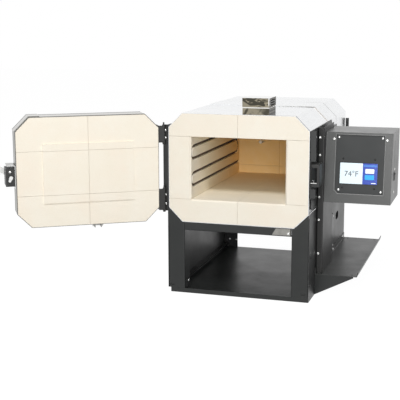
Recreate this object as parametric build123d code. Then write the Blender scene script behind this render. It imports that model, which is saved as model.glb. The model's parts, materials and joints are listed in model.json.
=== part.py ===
"""Heat treat oven: brick chamber in a steel case, on a stand, with a hinged door and controls.

Millimetres, +Z up, the door side faces -Y. The origin is the middle of the stand's underside.
Depths written as FRONT + d are d millimetres behind the brick face around the chamber mouth.
The door and its latch are drawn closed and then turned open about the hinge pins.
"""
import os
from math import atan2, ceil, cos, hypot, pi, radians, sin, sqrt, tan

from build123d import *

# Chamber and bricks
CHAMBER_W = 241.3
CHAMBER_H = 158.75
BRICK = 57.15
BRICK_DEEP = 114.3
BRICK_ROWS = 4
JOINT = 0.5
SLACK = 0.1
CORNER = 35.0
MOUTH_CUT = 4.0
BODY_UP = 186.0
LOW_JOINT = 79.5
HIGH_JOINT = 84.5

# Case round the bricks
SKIN = 1.2
BACK_BOARD = 3.4
BAND_FROM = 234.0
BAND_TO = 356.0
SKIN_SPLIT = 295.0

# Heating elements, heights as a share of the chamber height
RUN_SHARE = (0.832, 0.636, 0.403, 0.208)
GROOVE_W = 8.0
GROOVE_DEEP = 10.0
COIL_R = 3.25
COIL_SUNK = 5.3
LINK_R = 1.3
COIL_SHORT = 8.0
TAIL_R = 1.5
FRONT_BEND = 24.0
REAR_BEND = 421.0
TAIL_OUT = 18.0
TAIL_EASE = 0.3
TAIL_ROOM = 1.0
BUSHING_R = 5.0
BUSHING_L = 7.0
CONNECTOR_R = 4.2

# Thermocouple
PROBE_R = 5.0
PROBE_X = -50.7
PROBE_UP = 94.0
PROBE_IN = 26.0
PROBE_OUT = 14.0
PROBE_ROOM = 0.4

# Terminal cover on the back
COVER_PAST = 12.0
COVER_DEEP = 36.0
COVER_FLANGE = 13.0
COVER_EDGE = 18.0
COVER_SLOTS = 5
COVER_SLOT_W = 5.0

# Sheet metal of the stand
SHEET = 1.5
BEND = 1.0
BEND_STEP = 30.0
FIT = 0.4
GAP = 0.1

# Stand
TRAY_IN = 5.6
SILL_W = 13.0
TRAY_LIP = 11.5
POST_W = 42.6
POST_DEEP = 40.0
RAIL_H = 20.8
RAIL_DEEP = 30.0
RAIL_HEM = 14.0
REAR_FLANGE = 40.0
REAR_RAIL_H = 50.0
PANEL_TOP = 430.0
RIGHT_TOP = 425.0
RIGHT_DROP = 20.0
RIGHT_STEP = 277.0
FLANGE_LOW = 211.0
FLANGE_OUT = 12.0
FLANGE_BACK = 2.5
CATCH_NOTCH = (284.0, 352.0)
REAR_LIP = 7.0
REAR_LIP_LOW = 300.0
NOTCH_DEEP = 18.0
NOTCH_H = 37.0
SLIT_DEEP = 84.0
SLIT_H = 9.0
STRIP_LOW = 262.0
OVAL_BACK = 392.5
OVAL_UP = 144.0
OVAL_W = 43.0
OVAL_H = 22.0
ACCESS_FRONT = 226.0
ACCESS_BACK = 315.0
ACCESS_TOP = 165.0
ACCESS_DEEP = 4.0
POST_SLOT = (12.0, 5.0)
PANEL_SCREWS = (40.0, 110.0)
SCREW_IN = 18.0
PLATE_BASE = 46.0
PLATE_SLANT = 10.0

# Shelf on the right
SHELF_UP = 52.5
SHELF_W = 105.0
SHELF_FRONT = 80.0
SHELF_BACK = 518.0
LIP_H = 12.0
LIP_LEAN = 15.0
SHELF_HOLE_R = 3.0
FLANGE_UP = 14.0
BOLT_SHARE = (0.068, 0.352, 0.56, 0.932)
SHELF_HOLE_IN = 14.0
GUSSET_TAB = 12.0

# Control box and its bracket
BRACKET_FRONT = 90.0
BRACKET_W = 16.0
BRACKET_DEEP = 130.0
BRACKET_SCREWS = (105.0, 192.0, 250.0, 356.0, 400.0)
BOX_W = 165.0
BOX_LOW = 237.5
BOX_TOP = 412.0
BOX_FRONT = 94.0
BOX_REAR = 248.0
BOX_TILT = 6.6
PLATE_LEFT = 25.5
PLATE_RIGHT = 19.5
PLATE_UP = 23.7
PLATE_H = 146.0
PLATE_CUT = 8.0
PLATE_DEEP = 4.0
PLATE_T = 2.0
SCREEN_W = 95.0
SCREEN_H = 54.0
SCREEN_SHARE = 0.42
SCREEN_UP = 47.5
SCREEN_T = 6.0
BOX_EDGE = 11.0
SIDE_SLOT = (153.0, 356.0, 70.0, 4.0)
SIDE_SCREWS = ((155.0, 319.0), (148.0, 262.0))
RELAY_W = 44.0
RELAY_H = 58.0
RELAY_UP = 62.5
RELAY_DEEP = 23.0
TERMINAL_W = 48.0
TERMINAL_H = 22.0
TERMINAL_UP = 20.5
TERMINAL_DEEP = 16.0

# Switch in the right side of the control box
SWITCH_BACK = 156.0
SWITCH_UP = 301.0
SWITCH_W = 15.0
SWITCH_H = 21.0
SWITCH_RIM = 1.6
SWITCH_DEEP = 12.0
SWITCH_WALL = 1.2
ROCKER_W = 9.0
ROCKER_H = 14.6
ROCKER_TIP = 10.0

# Door
DOOR_GAP = 0.5
DOOR_OPEN = 147.0
DOOR_BOARD = 4.5
DOOR_BAND = 1.5
BAND_BACK = 2.0
PLUG_W = 225.0
PLUG_H = 146.0
PLUG_UP = 2.8
PLUG_RISE = 3.5
BAND_IN = 0.3
LAP_REACH = 26.0
LAP_SET = 3.0
LUG_X = (-33.0, -17.0)
LUG_T = 2.0
LUG_H = 12.0
LUG_W = 22.0
LUG_SET = 20.0
CLAMP_R = 2.2
CLAMP_UP = 5.0

# Hinges
AXIS_OUT = 8.4
AXIS_FWD = 3.5
PIN_R = 2.0
RUN_FIT = 0.05
EAR_R = 3.8
EAR_T = 2.0
EAR_GAP = 0.5
HINGES = ((383.0, 430.0), (211.0, 270.0))
LEAF_DEEP = 40.0
PIN_TIP = 6.0

# Latch on the door and its catch on the body
LATCH_X = 11.5
LATCH_UP = 128.0
HOUSING_W = 22.0
HOUSING_H = 44.0
HOUSING_DEEP = 50.0
HOUSING_SET = 12.0
SPINDLE_R = 3.0
PAWL_HUB = 4.5
PAWL_REACH = 8.2
PAWL_TIP = 3.0
PAWL_T = 3.0
PAWL_AT = 4.6
PAWL_DOWN = 67.0
LEVER_HUB = 8.0
LEVER_REACH = 22.0
LEVER_TIP = 6.0
LEVER_T = 10.0
LEVER_UP = 27.0
CATCH_W = 21.4
CATCH_LOW = 290.0
CATCH_TOP = 345.0
CATCH_DEEP = 38.0
CATCH_SET = 2.0
BAR_R = 1.3

# Box on top
TOP_LEFT = 11.5
TOP_W = 66.8
TOP_BACK = 2.0
TOP_DEEP = 67.0
TOP_H = 40.7
TOP_SPLIT = 17.2
TOP_T = 1.0

# Screws: head radius, head height, shank radius, shank length
M5 = (4.2, 2.2, 2.4, 4.0)
M4 = (3.3, 1.8, 1.9, 3.4)
M4_SHORT = (3.3, 1.8, 1.9, 2.9)
M4_FLAT = (3.3, 1.8, 1.9, 0.0)
M3_FLAT = (2.5, 1.4, 1.4, 0.0)
HOLE_EASE = 0.15

# Worked out from the sizes above
CHAMBER_D = BRICK_DEEP * BRICK_ROWS
BODY_W = CHAMBER_W + 2 * BRICK
BODY_H = CHAMBER_H + 2 * BRICK
BODY_D = CHAMBER_D + BRICK + BACK_BOARD + SKIN + SLACK
FRONT = -BODY_D / 2
BACK = BODY_D / 2
HEARTH = BODY_UP + BRICK
ROOF = HEARTH + CHAMBER_H
BODY_TOP = BODY_UP + BODY_H
HALF_MOUTH = CHAMBER_W / 2
PANEL_IN = BODY_W / 2 + 2 * SKIN + FIT
PANEL_OUT = PANEL_IN + SHEET
MID = SHEET / 2
BEND_MID = BEND + MID
STAND_TOP = BODY_UP - SKIN - FIT
PROBE_HOLE = PROBE_R + PROBE_ROOM
RUN_Z = [HEARTH + share * CHAMBER_H for share in RUN_SHARE]
ELEMENT_X = HALF_MOUTH + COIL_SUNK
COVER_W = 2 * (ELEMENT_X + COVER_PAST)
PLATE_W = BOX_W - PLATE_LEFT - PLATE_RIGHT
SCREEN_LEFT = PLATE_LEFT + (PLATE_W - SCREEN_W) * SCREEN_SHARE
BRACKET_IN = PANEL_OUT + GAP
BRACKET_OUT = BRACKET_IN + BRACKET_W
BOX_IN = BRACKET_OUT + GAP
BOX_OUT = BOX_IN + BOX_W
AXIS_X = -(PANEL_OUT + AXIS_OUT)
AXIS_Y = FRONT - AXIS_FWD
DOOR_FACE = FRONT - DOOR_GAP
DOOR_BRICK_BACK = DOOR_FACE - BRICK
DOOR_BACK = DOOR_BRICK_BACK - DOOR_BOARD - DOOR_BAND
SHELF_TOP = SHELF_UP + SHEET

ALONG = {"x": (1, 0, 0), "y": (0, 1, 0), "z": (0, 0, 1)}


def square_to(axis, at):
    """Plane square to an axis: its own two directions are the other two axes, in order."""
    if axis == "x":
        return Plane(origin=(at, 0, 0), x_dir=(0, 1, 0), z_dir=(1, 0, 0))
    if axis == "y":
        return Plane(origin=(0, at, 0), x_dir=(1, 0, 0), z_dir=(0, -1, 0))
    return Plane(origin=(0, 0, at))


def swept(face, axis, low, high):
    """A flat face pushed along an axis between two positions."""
    return extrude(square_to(axis, low) * face, amount=high - low, dir=ALONG[axis])


def polygon(points):
    """A flat face with straight edges."""
    return make_face(Polyline(*points, close=True))


def prism(points, axis, low, high):
    """A straight-edged outline pushed along an axis."""
    return swept(polygon(points), axis, low, high)


def block(x0, x1, y0, y1, z0, z1):
    """A box given by its limits."""
    middle = Pos((x0 + x1) / 2, (y0 + y1) / 2, (z0 + z1) / 2)
    return middle * Box(x1 - x0, y1 - y0, z1 - z0)


def rod(axis, u, v, radius, low, high):
    """A round bar along an axis, centred on (u, v) in the other two axes."""
    return swept(Pos(u, v) * Circle(radius), axis, low, high)


def faceted(axis, u, v, radius, low, high, sides=8):
    """A many-sided bar that stands for a small round one."""
    return swept(Pos(u, v) * RegularPolygon(radius, sides), axis, low, high)


def bow_points(u, v, radius, start, sweep, count=6):
    """Points along an arc, angles in degrees."""
    angles = [radians(start + sweep * i / count) for i in range(count + 1)]
    return [(u + radius * cos(a), v + radius * sin(a)) for a in angles]


def obround(u, v, wide, high):
    """A face with two round ends, longer in its first direction."""
    far = (wide - high) / 2
    right = bow_points(u + far, v, high / 2, -90, 180)
    left = bow_points(u - far, v, high / 2, 90, 180)
    return polygon(right + left)


def octagon(grow=0.0):
    """Outline of the body in X and Z, grown or shrunk evenly."""
    half = BODY_W / 2 + grow
    low = BODY_UP - grow
    high = BODY_TOP + grow
    cut = CORNER + grow * (2 - sqrt(2))
    right = [(half - cut, low), (half, low + cut), (half, high - cut), (half - cut, high)]
    left = [(-x, z) for x, z in reversed(right)]
    return right + left


def unit(a, b):
    """Direction from one flat point to another."""
    span = hypot(b[0] - a[0], b[1] - a[1])
    return ((b[0] - a[0]) / span, (b[1] - a[1]) / span)


def bent(path, thick=SHEET, radius=BEND_MID):
    """Face of a sheet that follows the middle line given, with a bend in steps at each corner."""
    rims = ([], [])
    heading = [unit(a, b) for a, b in zip(path, path[1:])]
    for rim, shift in zip(rims, (thick / 2, -thick / 2)):
        for at, way in ((path[0], heading[0]), (path[-1], heading[-1])):
            rim.append((at[0] - way[1] * shift, at[1] + way[0] * shift))
        bends = []
        for corner, into, away in zip(path[1:-1], heading, heading[1:]):
            cross = into[0] * away[1] - into[1] * away[0]
            turn = atan2(cross, into[0] * away[0] + into[1] * away[1])
            way = 1 if turn > 0 else -1
            back = radius * tan(abs(turn) / 2)
            near = (corner[0] - into[0] * back, corner[1] - into[1] * back)
            hub = (near[0] - into[1] * radius * way, near[1] + into[0] * radius * way)
            first = atan2(-into[0] * way, into[1] * way)
            steps = ceil(abs(turn) / radians(BEND_STEP))
            sweep = turn * 180 / pi
            bends += bow_points(*hub, radius - way * shift, first * 180 / pi, sweep, steps)
        rim[1:1] = bends
    return polygon(rims[0] + rims[1][::-1])


def screw_solid(size):
    """A screw on the XY plane in few facets; with no shank length it is a rivet-like head."""
    head_r, head_h, shank_r, shank_l = size
    head = faceted("z", 0, 0, head_r, 0, head_h, 6)
    if shank_l == 0:
        return head
    return head + faceted("z", 0, 0, shank_r, -shank_l, 0, 4)


def placed(shape, spot):
    """A shape drawn on the XY plane, set at a spot with its +Z along the spot's direction."""
    at, way = spot
    return Plane(origin=at, z_dir=way).location * shape


def screws(size, spots):
    """One screw of the size at each spot."""
    solid = screw_solid(size)
    return [placed(solid, spot) for spot in spots]


def drilled(part, size, spots, reach=6.0):
    """The part with a clearance hole for a screw at each spot."""
    tool = faceted("z", 0, 0, (size[2] + HOLE_EASE) / cos(pi / 6), -reach, reach, 6)
    for spot in spots:
        part = part - placed(tool, spot)
    return part


def opened(shape):
    """A closed-door shape turned about the hinge pins to the open position."""
    return shape.rotate(Axis((AXIS_X, AXIS_Y, 0), (0, 0, 1)), -DOOR_OPEN)


# Bricks

def brick_span(row):
    """Front and rear of one row of bricks, with a joint between rows."""
    y0 = FRONT + row * BRICK_DEEP
    y1 = y0 + BRICK_DEEP - JOINT / 2
    return (y0 if row == 0 else y0 + JOINT / 2, y1)


def slab_bricks(side, top):
    """Roof or floor bricks on one side of the middle, cut at the outer corner."""
    half = BODY_W / 2 - SLACK
    inner = JOINT / 2
    if top:
        near, far, cut = ROOF + JOINT / 2, BODY_TOP - SLACK, -CORNER
    else:
        near, far, cut = HEARTH, BODY_UP + SLACK, CORNER
    outline = [(inner, near), (half, near), (half, far + cut), (half - CORNER, far), (inner, far)]
    outline = [(side * x, z) for x, z in outline]
    solids = []
    for row in range(BRICK_ROWS):
        y0, y1 = brick_span(row)
        solids.append(prism(outline, "y", y0, y1))
    if not top:
        edge = [(FRONT, HEARTH), (FRONT + MOUTH_CUT, HEARTH), (FRONT, HEARTH - MOUTH_CUT)]
        low, high = sorted((0, side * HALF_MOUTH))
        solids[0] = solids[0] - prism(edge, "x", low, high)
    return solids


def half_ring(u, v, bow, half, way):
    """A flat half ring in steps, bulging along the first direction given by its sign."""
    outer = bow_points(u, v, bow + half, -90 * way, 180)
    inner = bow_points(u, v, bow - half, -90 * way, 180)
    return polygon(outer + inner[::-1])


def groove_face():
    """Element groove of a side wall, drawn in Y and Z."""
    front = FRONT + FRONT_BEND
    rear = FRONT + REAR_BEND
    ends = (FRONT + CHAMBER_D, rear, rear, FRONT + CHAMBER_D)
    face = Sketch()
    for z, end in zip(RUN_Z, ends):
        face += Pos((front + end) / 2, z) * Rectangle(end - front, GROOVE_W)
    for upper, lower, centre, way in ((0, 1, front, -1), (2, 3, front, -1), (1, 2, rear, 1)):
        bow = (RUN_Z[upper] - RUN_Z[lower]) / 2
        middle = (RUN_Z[upper] + RUN_Z[lower]) / 2
        face += half_ring(centre, middle, bow, GROOVE_W / 2, way)
    return face


def wall_bricks(side):
    """Side wall bricks with the element groove and a cut edge at the mouth."""
    low, high = sorted((side * HALF_MOUTH, side * (BODY_W / 2 - SLACK)))
    deep = side * (HALF_MOUTH + GROOVE_DEEP)
    over = side * (HALF_MOUTH - 1)
    groove = swept(groove_face(), "x", min(deep, over), max(deep, over))
    solids = []
    for row in range(BRICK_ROWS):
        y0, y1 = brick_span(row)
        brick = block(low, high, y0, y1, HEARTH + JOINT, ROOF - JOINT / 2) - groove
        solids.append(brick)
    edge = [(side * HALF_MOUTH, FRONT), (side * (HALF_MOUTH + MOUTH_CUT), FRONT),
            (side * HALF_MOUTH, FRONT + MOUTH_CUT)]
    solids[0] = solids[0] - prism(edge, "z", HEARTH, ROOF)
    return solids


def slab_cells(grow):
    """Outlines of six bricks that fill the octagon: three courses split at the middle."""
    low = BODY_UP + LOW_JOINT
    high = BODY_TOP - HIGH_JOINT
    levels = (BODY_UP - 50, low, high, BODY_TOP + 50)
    cells = []
    for side in (-1, 1):
        for bottom, top in zip(levels, levels[1:]):
            x0, x1 = sorted((side * JOINT / 2, side * BODY_W))
            cells.append((x0, x1, bottom + JOINT / 2, top - JOINT / 2))
    return cells


def back_bricks():
    """Rear wall: six bricks pierced for the element tails and the thermocouple."""
    y0 = FRONT + CHAMBER_D + JOINT / 2
    y1 = y0 + BRICK - JOINT / 2
    whole = prism(octagon(-SLACK), "y", y0, y1)
    for side in (-1, 1):
        for z in (RUN_Z[0], RUN_Z[3]):
            whole = whole - faceted("y", side * ELEMENT_X, z, TAIL_R + TAIL_ROOM, y0 - 1, y1 + 1, 6)
    whole = whole - faceted("y", PROBE_X, HEARTH + PROBE_UP, PROBE_HOLE, y0 - 1, y1 + 1, 12)
    solids = []
    for x0, x1, z0, z1 in slab_cells(-SLACK):
        solids.append(whole & block(x0, x1, y0 - 1, y1 + 1, z0, z1))
    return solids


# Elements and thermocouple

def element(side):
    """Heating coil of one wall: four runs, thin links round the bends and two tails."""
    front = FRONT + FRONT_BEND
    rear = FRONT + REAR_BEND
    coil_end = FRONT + CHAMBER_D - COIL_SHORT
    x = side * ELEMENT_X
    shape = Part()
    for z, end in zip(RUN_Z, (coil_end, rear, rear, coil_end)):
        shape += faceted("y", x, z, COIL_R, front, end)
    for upper, lower, centre, way in ((0, 1, front, -1), (2, 3, front, -1), (1, 2, rear, 1)):
        bow = (RUN_Z[upper] - RUN_Z[lower]) / 2
        middle = (RUN_Z[upper] + RUN_Z[lower]) / 2
        link = half_ring(centre, middle, bow, LINK_R, way)
        shape += swept(link, "x", x - LINK_R, x + LINK_R)
    for z in (RUN_Z[0], RUN_Z[3]):
        shape += faceted("y", x, z, TAIL_R, coil_end - 1, BACK + TAIL_OUT, 6)
    return shape


def tail_spots():
    """Where the four element tails leave the back, in X and Z."""
    return [(side * ELEMENT_X, z) for side in (-1, 1) for z in (RUN_Z[0], RUN_Z[3])]


def bushings():
    """Ceramic sleeves round the element tails at the back cover."""
    solids = []
    for x, z in tail_spots():
        sleeve = faceted("y", x, z, BUSHING_R, BACK + GAP, BACK + BUSHING_L)
        sleeve -= faceted("y", x, z, TAIL_R + TAIL_EASE, BACK - 1, BACK + BUSHING_L + 1)
        solids.append(sleeve)
    return solids


def connectors():
    """Brass barrels clamped on the ends of the element tails."""
    solids = []
    for x, z in tail_spots():
        y0 = BACK + BUSHING_L + 1
        y1 = BACK + TAIL_OUT
        barrel = faceted("y", x, z, CONNECTOR_R, y0, y1 + CONNECTOR_R)
        barrel -= faceted("y", x, z, TAIL_R + TAIL_EASE, y0 - 1, y1 + TAIL_EASE)
        solids.append(barrel)
    return solids


def probe():
    """Ceramic thermocouple tube through the rear wall."""
    z = HEARTH + PROBE_UP
    y0 = FRONT + CHAMBER_D - PROBE_IN
    tube = faceted("y", PROBE_X, z, PROBE_R, y0, BACK + PROBE_OUT, 12)
    tip = tube.faces().sort_by(Axis.Y)[0]
    return chamfer(tip.edges(), PROBE_R * 0.3)


def probe_head():
    """Connector block on the outer end of the thermocouple."""
    z = HEARTH + PROBE_UP
    body = block(PROBE_X - 11, PROBE_X + 11, BACK + 2, BACK + PROBE_OUT + 8, z - 9, z + 9)
    return body - faceted("y", PROBE_X, z, PROBE_R + GAP, BACK, BACK + PROBE_OUT + GAP, 12)


# Case

def wrap(y0, y1, grow):
    """Eight-sided sheet wrap, one sheet thick, standing off the bricks by the grow given."""
    return prism(octagon(grow + SKIN), "y", y0, y1) - prism(octagon(grow), "y", y0 - 1, y1 + 1)


def back_cover():
    """Flat cover inside the rear end of the case."""
    y1 = BACK
    y0 = BACK - SKIN
    plate = prism(octagon(-SLACK), "y", y0, y1)
    for x, z in tail_spots():
        plate = plate - faceted("y", x, z, TAIL_R + TAIL_ROOM, y0 - 1, y1 + 1, 6)
    return plate - faceted("y", PROBE_X, HEARTH + PROBE_UP, PROBE_HOLE, y0 - 1, y1 + 1, 12)


def back_board():
    """Insulating board between the rear bricks and the back cover."""
    y0 = FRONT + CHAMBER_D + BRICK + SLACK
    y1 = BACK - SKIN - GAP
    plate = prism(octagon(-SLACK), "y", y0, y1)
    for x, z in tail_spots():
        plate = plate - faceted("y", x, z, TAIL_R + TAIL_ROOM, y0 - 1, y1 + 1, 6)
    return plate - faceted("y", PROBE_X, HEARTH + PROBE_UP, PROBE_HOLE, y0 - 1, y1 + 1, 12)


def cover_limits():
    """Bottom and top of the terminal cover."""
    return (RUN_Z[3] - COVER_EDGE, RUN_Z[0] + COVER_EDGE)


def cover_spots():
    """Screws that hold the terminal cover's flanges."""
    z0, z1 = cover_limits()
    x = COVER_W / 2 + COVER_FLANGE / 2 + 1
    return [((sx * x, BACK + SKIN, z), (0, 1, 0)) for sx in (-1, 1) for z in (z0 + 15, z1 - 15)]


def back_spots():
    """Screws round the edge of the back cover."""
    x = BODY_W / 2 - CORNER - 8
    ends = (BODY_UP + 12, BODY_TOP - 12)
    return [((sx * x, BACK, z), (0, 1, 0)) for sx in (-1, 1) for z in ends]


def terminal_cover():
    """Folded cover with air slots over the element terminals."""
    z0, z1 = cover_limits()
    half = COVER_W / 2
    mid = SKIN / 2
    top_y = BACK + COVER_DEEP - mid
    foot = half + COVER_FLANGE
    path = [(-foot, BACK + mid), (-half + mid, BACK + mid), (-half + mid, top_y),
            (half - mid, top_y), (half - mid, BACK + mid), (foot, BACK + mid)]
    shape = swept(bent(path, SKIN, BEND + mid), "z", z0, z1)
    for end in (z0, z1 - SKIN):
        shape += block(-half + 1.4, half - 1.4, BACK + GAP, top_y, end, end + SKIN)
    third = (z1 - z0) / 3
    for i in range(COVER_SLOTS):
        x = (i - (COVER_SLOTS - 1) / 2) * COVER_W / (COVER_SLOTS + 2)
        x0 = x - COVER_SLOT_W / 2
        shape -= block(x0, x0 + COVER_SLOT_W, top_y - 3, top_y + 3, z0 + third, z1 - third)
    return shape


def top_box_base():
    """Lower part of the small box on the roof."""
    z0 = BODY_TOP + SKIN + GAP
    z1 = z0 + TOP_SPLIT
    y0 = FRONT + TOP_BACK
    outer = block(TOP_LEFT, TOP_LEFT + TOP_W, y0, y0 + TOP_DEEP, z0, z1)
    inner = block(TOP_LEFT + TOP_T, TOP_LEFT + TOP_W - TOP_T, y0 + TOP_T, y0 + TOP_DEEP - TOP_T,
                  z0 + TOP_T, z1 + 1)
    return outer - inner


def top_box_lid():
    """Upper part of the small box, closed above, with three slots in its right side."""
    z0 = BODY_TOP + SKIN + GAP + TOP_SPLIT + GAP
    z1 = BODY_TOP + SKIN + TOP_H
    y0 = FRONT + TOP_BACK - 0.5
    x0 = TOP_LEFT - 0.5
    x1 = TOP_LEFT + TOP_W + 0.5
    y1 = y0 + TOP_DEEP + 1
    outer = block(x0, x1, y0, y1, z0, z1)
    inner = block(x0 + TOP_T, x1 - TOP_T, y0 + TOP_T, y1 - TOP_T, z0 - 1, z1 - TOP_T)
    shape = outer - inner
    for i in range(3):
        z = z0 + (z1 - z0) * (0.25 + 0.25 * i)
        reach = TOP_DEEP * 0.3
        middle = (y0 + y1) / 2
        shape -= block(x1 - 2, x1 + 1, middle - reach, middle + reach, z - 1.2, z + 1.2)
    return shape


# Stand

def tray():
    """Floor tray of the stand, with an upturned lip at the front and both sides."""
    x0 = TRAY_IN - PANEL_IN
    x1 = PANEL_IN - GAP
    shape = block(x0, x1, FRONT, BACK, 0, TRAY_LIP)
    return shape - block(x0 + SHEET, x1 - SHEET, FRONT + SHEET, BACK + 1, SHEET, TRAY_LIP + 1)


def front_post(side):
    """Front post: a channel below the case with an ear that fills the cut corner."""
    outer = side * (PANEL_IN - GAP - MID)
    inner = side * (PANEL_IN - GAP - POST_W + MID)
    path = [(outer, FRONT + RAIL_DEEP), (outer, FRONT + MID), (inner, FRONT + MID),
            (inner, FRONT + POST_DEEP)]
    z0 = TRAY_LIP + GAP
    shape = swept(bent(path), "z", z0, STAND_TOP)
    edge = side * (PANEL_IN - GAP)
    corner = octagon(SKIN + FIT)
    low_x = side * abs(corner[0][0])
    up_z = corner[1][1]
    ear = [(edge, STAND_TOP - 6), (low_x, STAND_TOP - 6), (low_x, corner[0][1]),
           (side * abs(corner[1][0]), up_z), (edge, up_z)]
    shape += prism(ear, "y", FRONT, FRONT + SHEET)
    slot_x = side * (PANEL_IN - 10)
    shape -= swept(obround(slot_x, TRAY_LIP + 8, *POST_SLOT), "y", FRONT - 1, FRONT + SHEET + 1)
    return drilled(shape, M5, flange_spots(side) + [s for s in panel_spots() if s[0][0] * side > 0])


def flange_spots(side):
    """Screw in the return flange of a front post."""
    x = side * (PANEL_IN - GAP - POST_W)
    return [((x, FRONT + POST_DEEP - 9, TRAY_LIP + 13), (-side, 0, 0))]


def front_rail():
    """Rail between the front posts, just below the case."""
    half = PANEL_IN - GAP - POST_W - GAP
    z0 = STAND_TOP - RAIL_H
    path = [(FRONT + RAIL_HEM, z0 + MID), (FRONT + MID, z0 + MID), (FRONT + MID, STAND_TOP - MID),
            (FRONT + RAIL_DEEP, STAND_TOP - MID)]
    shape = swept(bent(path), "x", -half, half)
    return drilled(shape, M4, rail_spots())


def rail_spots():
    """Screw through the plate on the front rail."""
    x = PANEL_IN - POST_W - 8
    return [((x, FRONT - SHEET, STAND_TOP - RAIL_H / 2 - 2), (0, -1, 0))]


def rail_plate():
    """Small bright plate on the right end of the front rail."""
    x1 = PANEL_IN - GAP - POST_W - 3
    z0 = STAND_TOP - RAIL_H + 3
    z1 = STAND_TOP - 1
    outline = [(x1 - PLATE_BASE, z0), (x1, z0), (x1, z1), (x1 - PLATE_BASE + PLATE_SLANT, z1)]
    return drilled(prism(outline, "y", FRONT - SHEET, FRONT - GAP), M4, rail_spots())


def rear_rail():
    """Rail across the back of the stand, just below the case."""
    half = PANEL_IN - GAP
    z0 = STAND_TOP - REAR_RAIL_H
    y = BACK - MID
    inner = BACK - SHEET - GAP - MID
    path = [(inner, z0), (inner, STAND_TOP - MID), (inner - RAIL_DEEP, STAND_TOP - MID)]
    return swept(bent(path), "x", -half, half)


def panel_spots():
    """Screws through each side panel into the posts."""
    spots = []
    for side in (-1, 1):
        for z in PANEL_SCREWS:
            spots.append(((side * PANEL_OUT, FRONT + SCREW_IN, z), (side, 0, 0)))
    return spots


def left_panel():
    """Left side panel: web, hinge flange, inward rear flange and a sill over the tray's lip."""
    x = -(PANEL_IN + MID)
    z0 = TRAY_LIP
    fy = FRONT + FLANGE_BACK + MID
    path = [(x - MID - FLANGE_OUT, fy), (x, fy), (x, BACK - MID), (x + REAR_FLANGE, BACK - MID)]
    shape = swept(bent(path), "z", z0, PANEL_TOP)
    shape -= block(-PANEL_IN + GAP, 0, BACK - 10, BACK + 1, STAND_TOP - REAR_RAIL_H - GAP, PANEL_TOP + 1)
    shape -= block(-PANEL_OUT - FLANGE_OUT - 1, -PANEL_OUT - 0.01, FRONT, FRONT + 6, z0 - 1, FLANGE_LOW)
    shape += block(-PANEL_OUT, -PANEL_IN, FRONT, FRONT + 8, z0, FLANGE_LOW)
    sill = z0 + GAP
    y0 = FRONT + POST_DEEP + GAP
    shape += block(-PANEL_IN - MID, SILL_W - PANEL_IN, y0, BACK - MID, sill, sill + SHEET)
    shape = drilled(shape, M4, hinge_spots())
    shape = drilled(shape, M5, [s for s in panel_spots() if s[0][0] < 0])
    return drilled(shape, M4, rear_spots())


def rear_spots():
    """Screws in the rear flange of the left panel, heads inside the bay."""
    z = TRAY_LIP + 13
    xs = (-PANEL_IN + 15, -PANEL_IN + 37)
    return [((x, BACK - SHEET, z), (0, -1, 0)) for x in xs]


def right_outline():
    """Right side panel seen from the side, in Y and Z."""
    drop = RIGHT_TOP - RIGHT_DROP
    return [(FRONT + FLANGE_BACK, 0), (BACK, 0), (BACK, drop), (FRONT + RIGHT_STEP + 16, drop),
            (FRONT + RIGHT_STEP, RIGHT_TOP), (FRONT + FLANGE_BACK, RIGHT_TOP)]


def right_panel():
    """Right side panel: web, short front flange, rear flange and lip, oval wiring hole."""
    shape = prism(right_outline(), "x", PANEL_IN, PANEL_OUT)
    shape += block(PANEL_IN, PANEL_OUT, FRONT, FRONT + 8, 0, FLANGE_LOW)
    y0 = BACK - SHEET
    shape += block(PANEL_IN, PANEL_OUT + REAR_LIP, y0, BACK, REAR_LIP_LOW, RIGHT_TOP - RIGHT_DROP)
    flange_top = STAND_TOP - REAR_RAIL_H - GAP
    shape += block(PANEL_IN - REAR_FLANGE, PANEL_OUT, y0, BACK, TRAY_LIP + GAP, flange_top)
    low, high = CATCH_NOTCH
    for z0, z1 in ((STRIP_LOW, low), (high, RIGHT_TOP)):
        y0 = FRONT + FLANGE_BACK
        shape += block(PANEL_IN, PANEL_OUT + FLANGE_OUT, y0, y0 + SHEET, z0, z1)
    step = BODY_UP + CORNER
    x0 = PANEL_IN - 1
    x1 = PANEL_OUT + 1
    shape -= block(x0, x1, FRONT + 1, FRONT + NOTCH_DEEP, step, step + NOTCH_H)
    shape -= block(x0, x1, FRONT + 1, FRONT + SLIT_DEEP, step, step + SLIT_H)
    shape -= swept(obround(FRONT + OVAL_BACK, OVAL_UP, OVAL_W, OVAL_H), "x", x0, x1)
    shape = drilled(shape, M5, [s for s in panel_spots() if s[0][0] > 0])
    shape = drilled(shape, M5, shelf_spots())
    return drilled(shape, M4, catch_spots())


def access_limits():
    """Front, rear, bottom and top of the access cover on the right panel."""
    return (FRONT + ACCESS_FRONT, FRONT + ACCESS_BACK, SHELF_TOP + FLANGE_UP + 2, ACCESS_TOP)


def access_spots():
    """Screws of the access cover."""
    y0, y1, z0, z1 = access_limits()
    x = PANEL_OUT + ACCESS_DEEP + GAP
    return [((x, y, z), (1, 0, 0)) for y in (y0 + 7, y1 - 7) for z in (z0 + 7, z1 - 7)]


def access_cover():
    """Shallow lid over the wiring space on the right panel."""
    y0, y1, z0, z1 = access_limits()
    x0 = PANEL_OUT + GAP
    x1 = x0 + ACCESS_DEEP
    lid = block(x0, x1, y0, y1, z0, z1)
    return lid - block(x0 - 1, x1 - SHEET, y0 + SHEET, y1 - SHEET, z0 + SHEET, z1 - SHEET)


# Shelf

def shelf_spots():
    """Bolts through the shelf's rear flange into the right panel."""
    z = SHELF_TOP + 7
    x = PANEL_OUT + SHEET + GAP
    long = SHELF_BACK - SHELF_FRONT
    return [((x, FRONT + SHELF_FRONT + long * share, z), (1, 0, 0)) for share in BOLT_SHARE]


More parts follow.
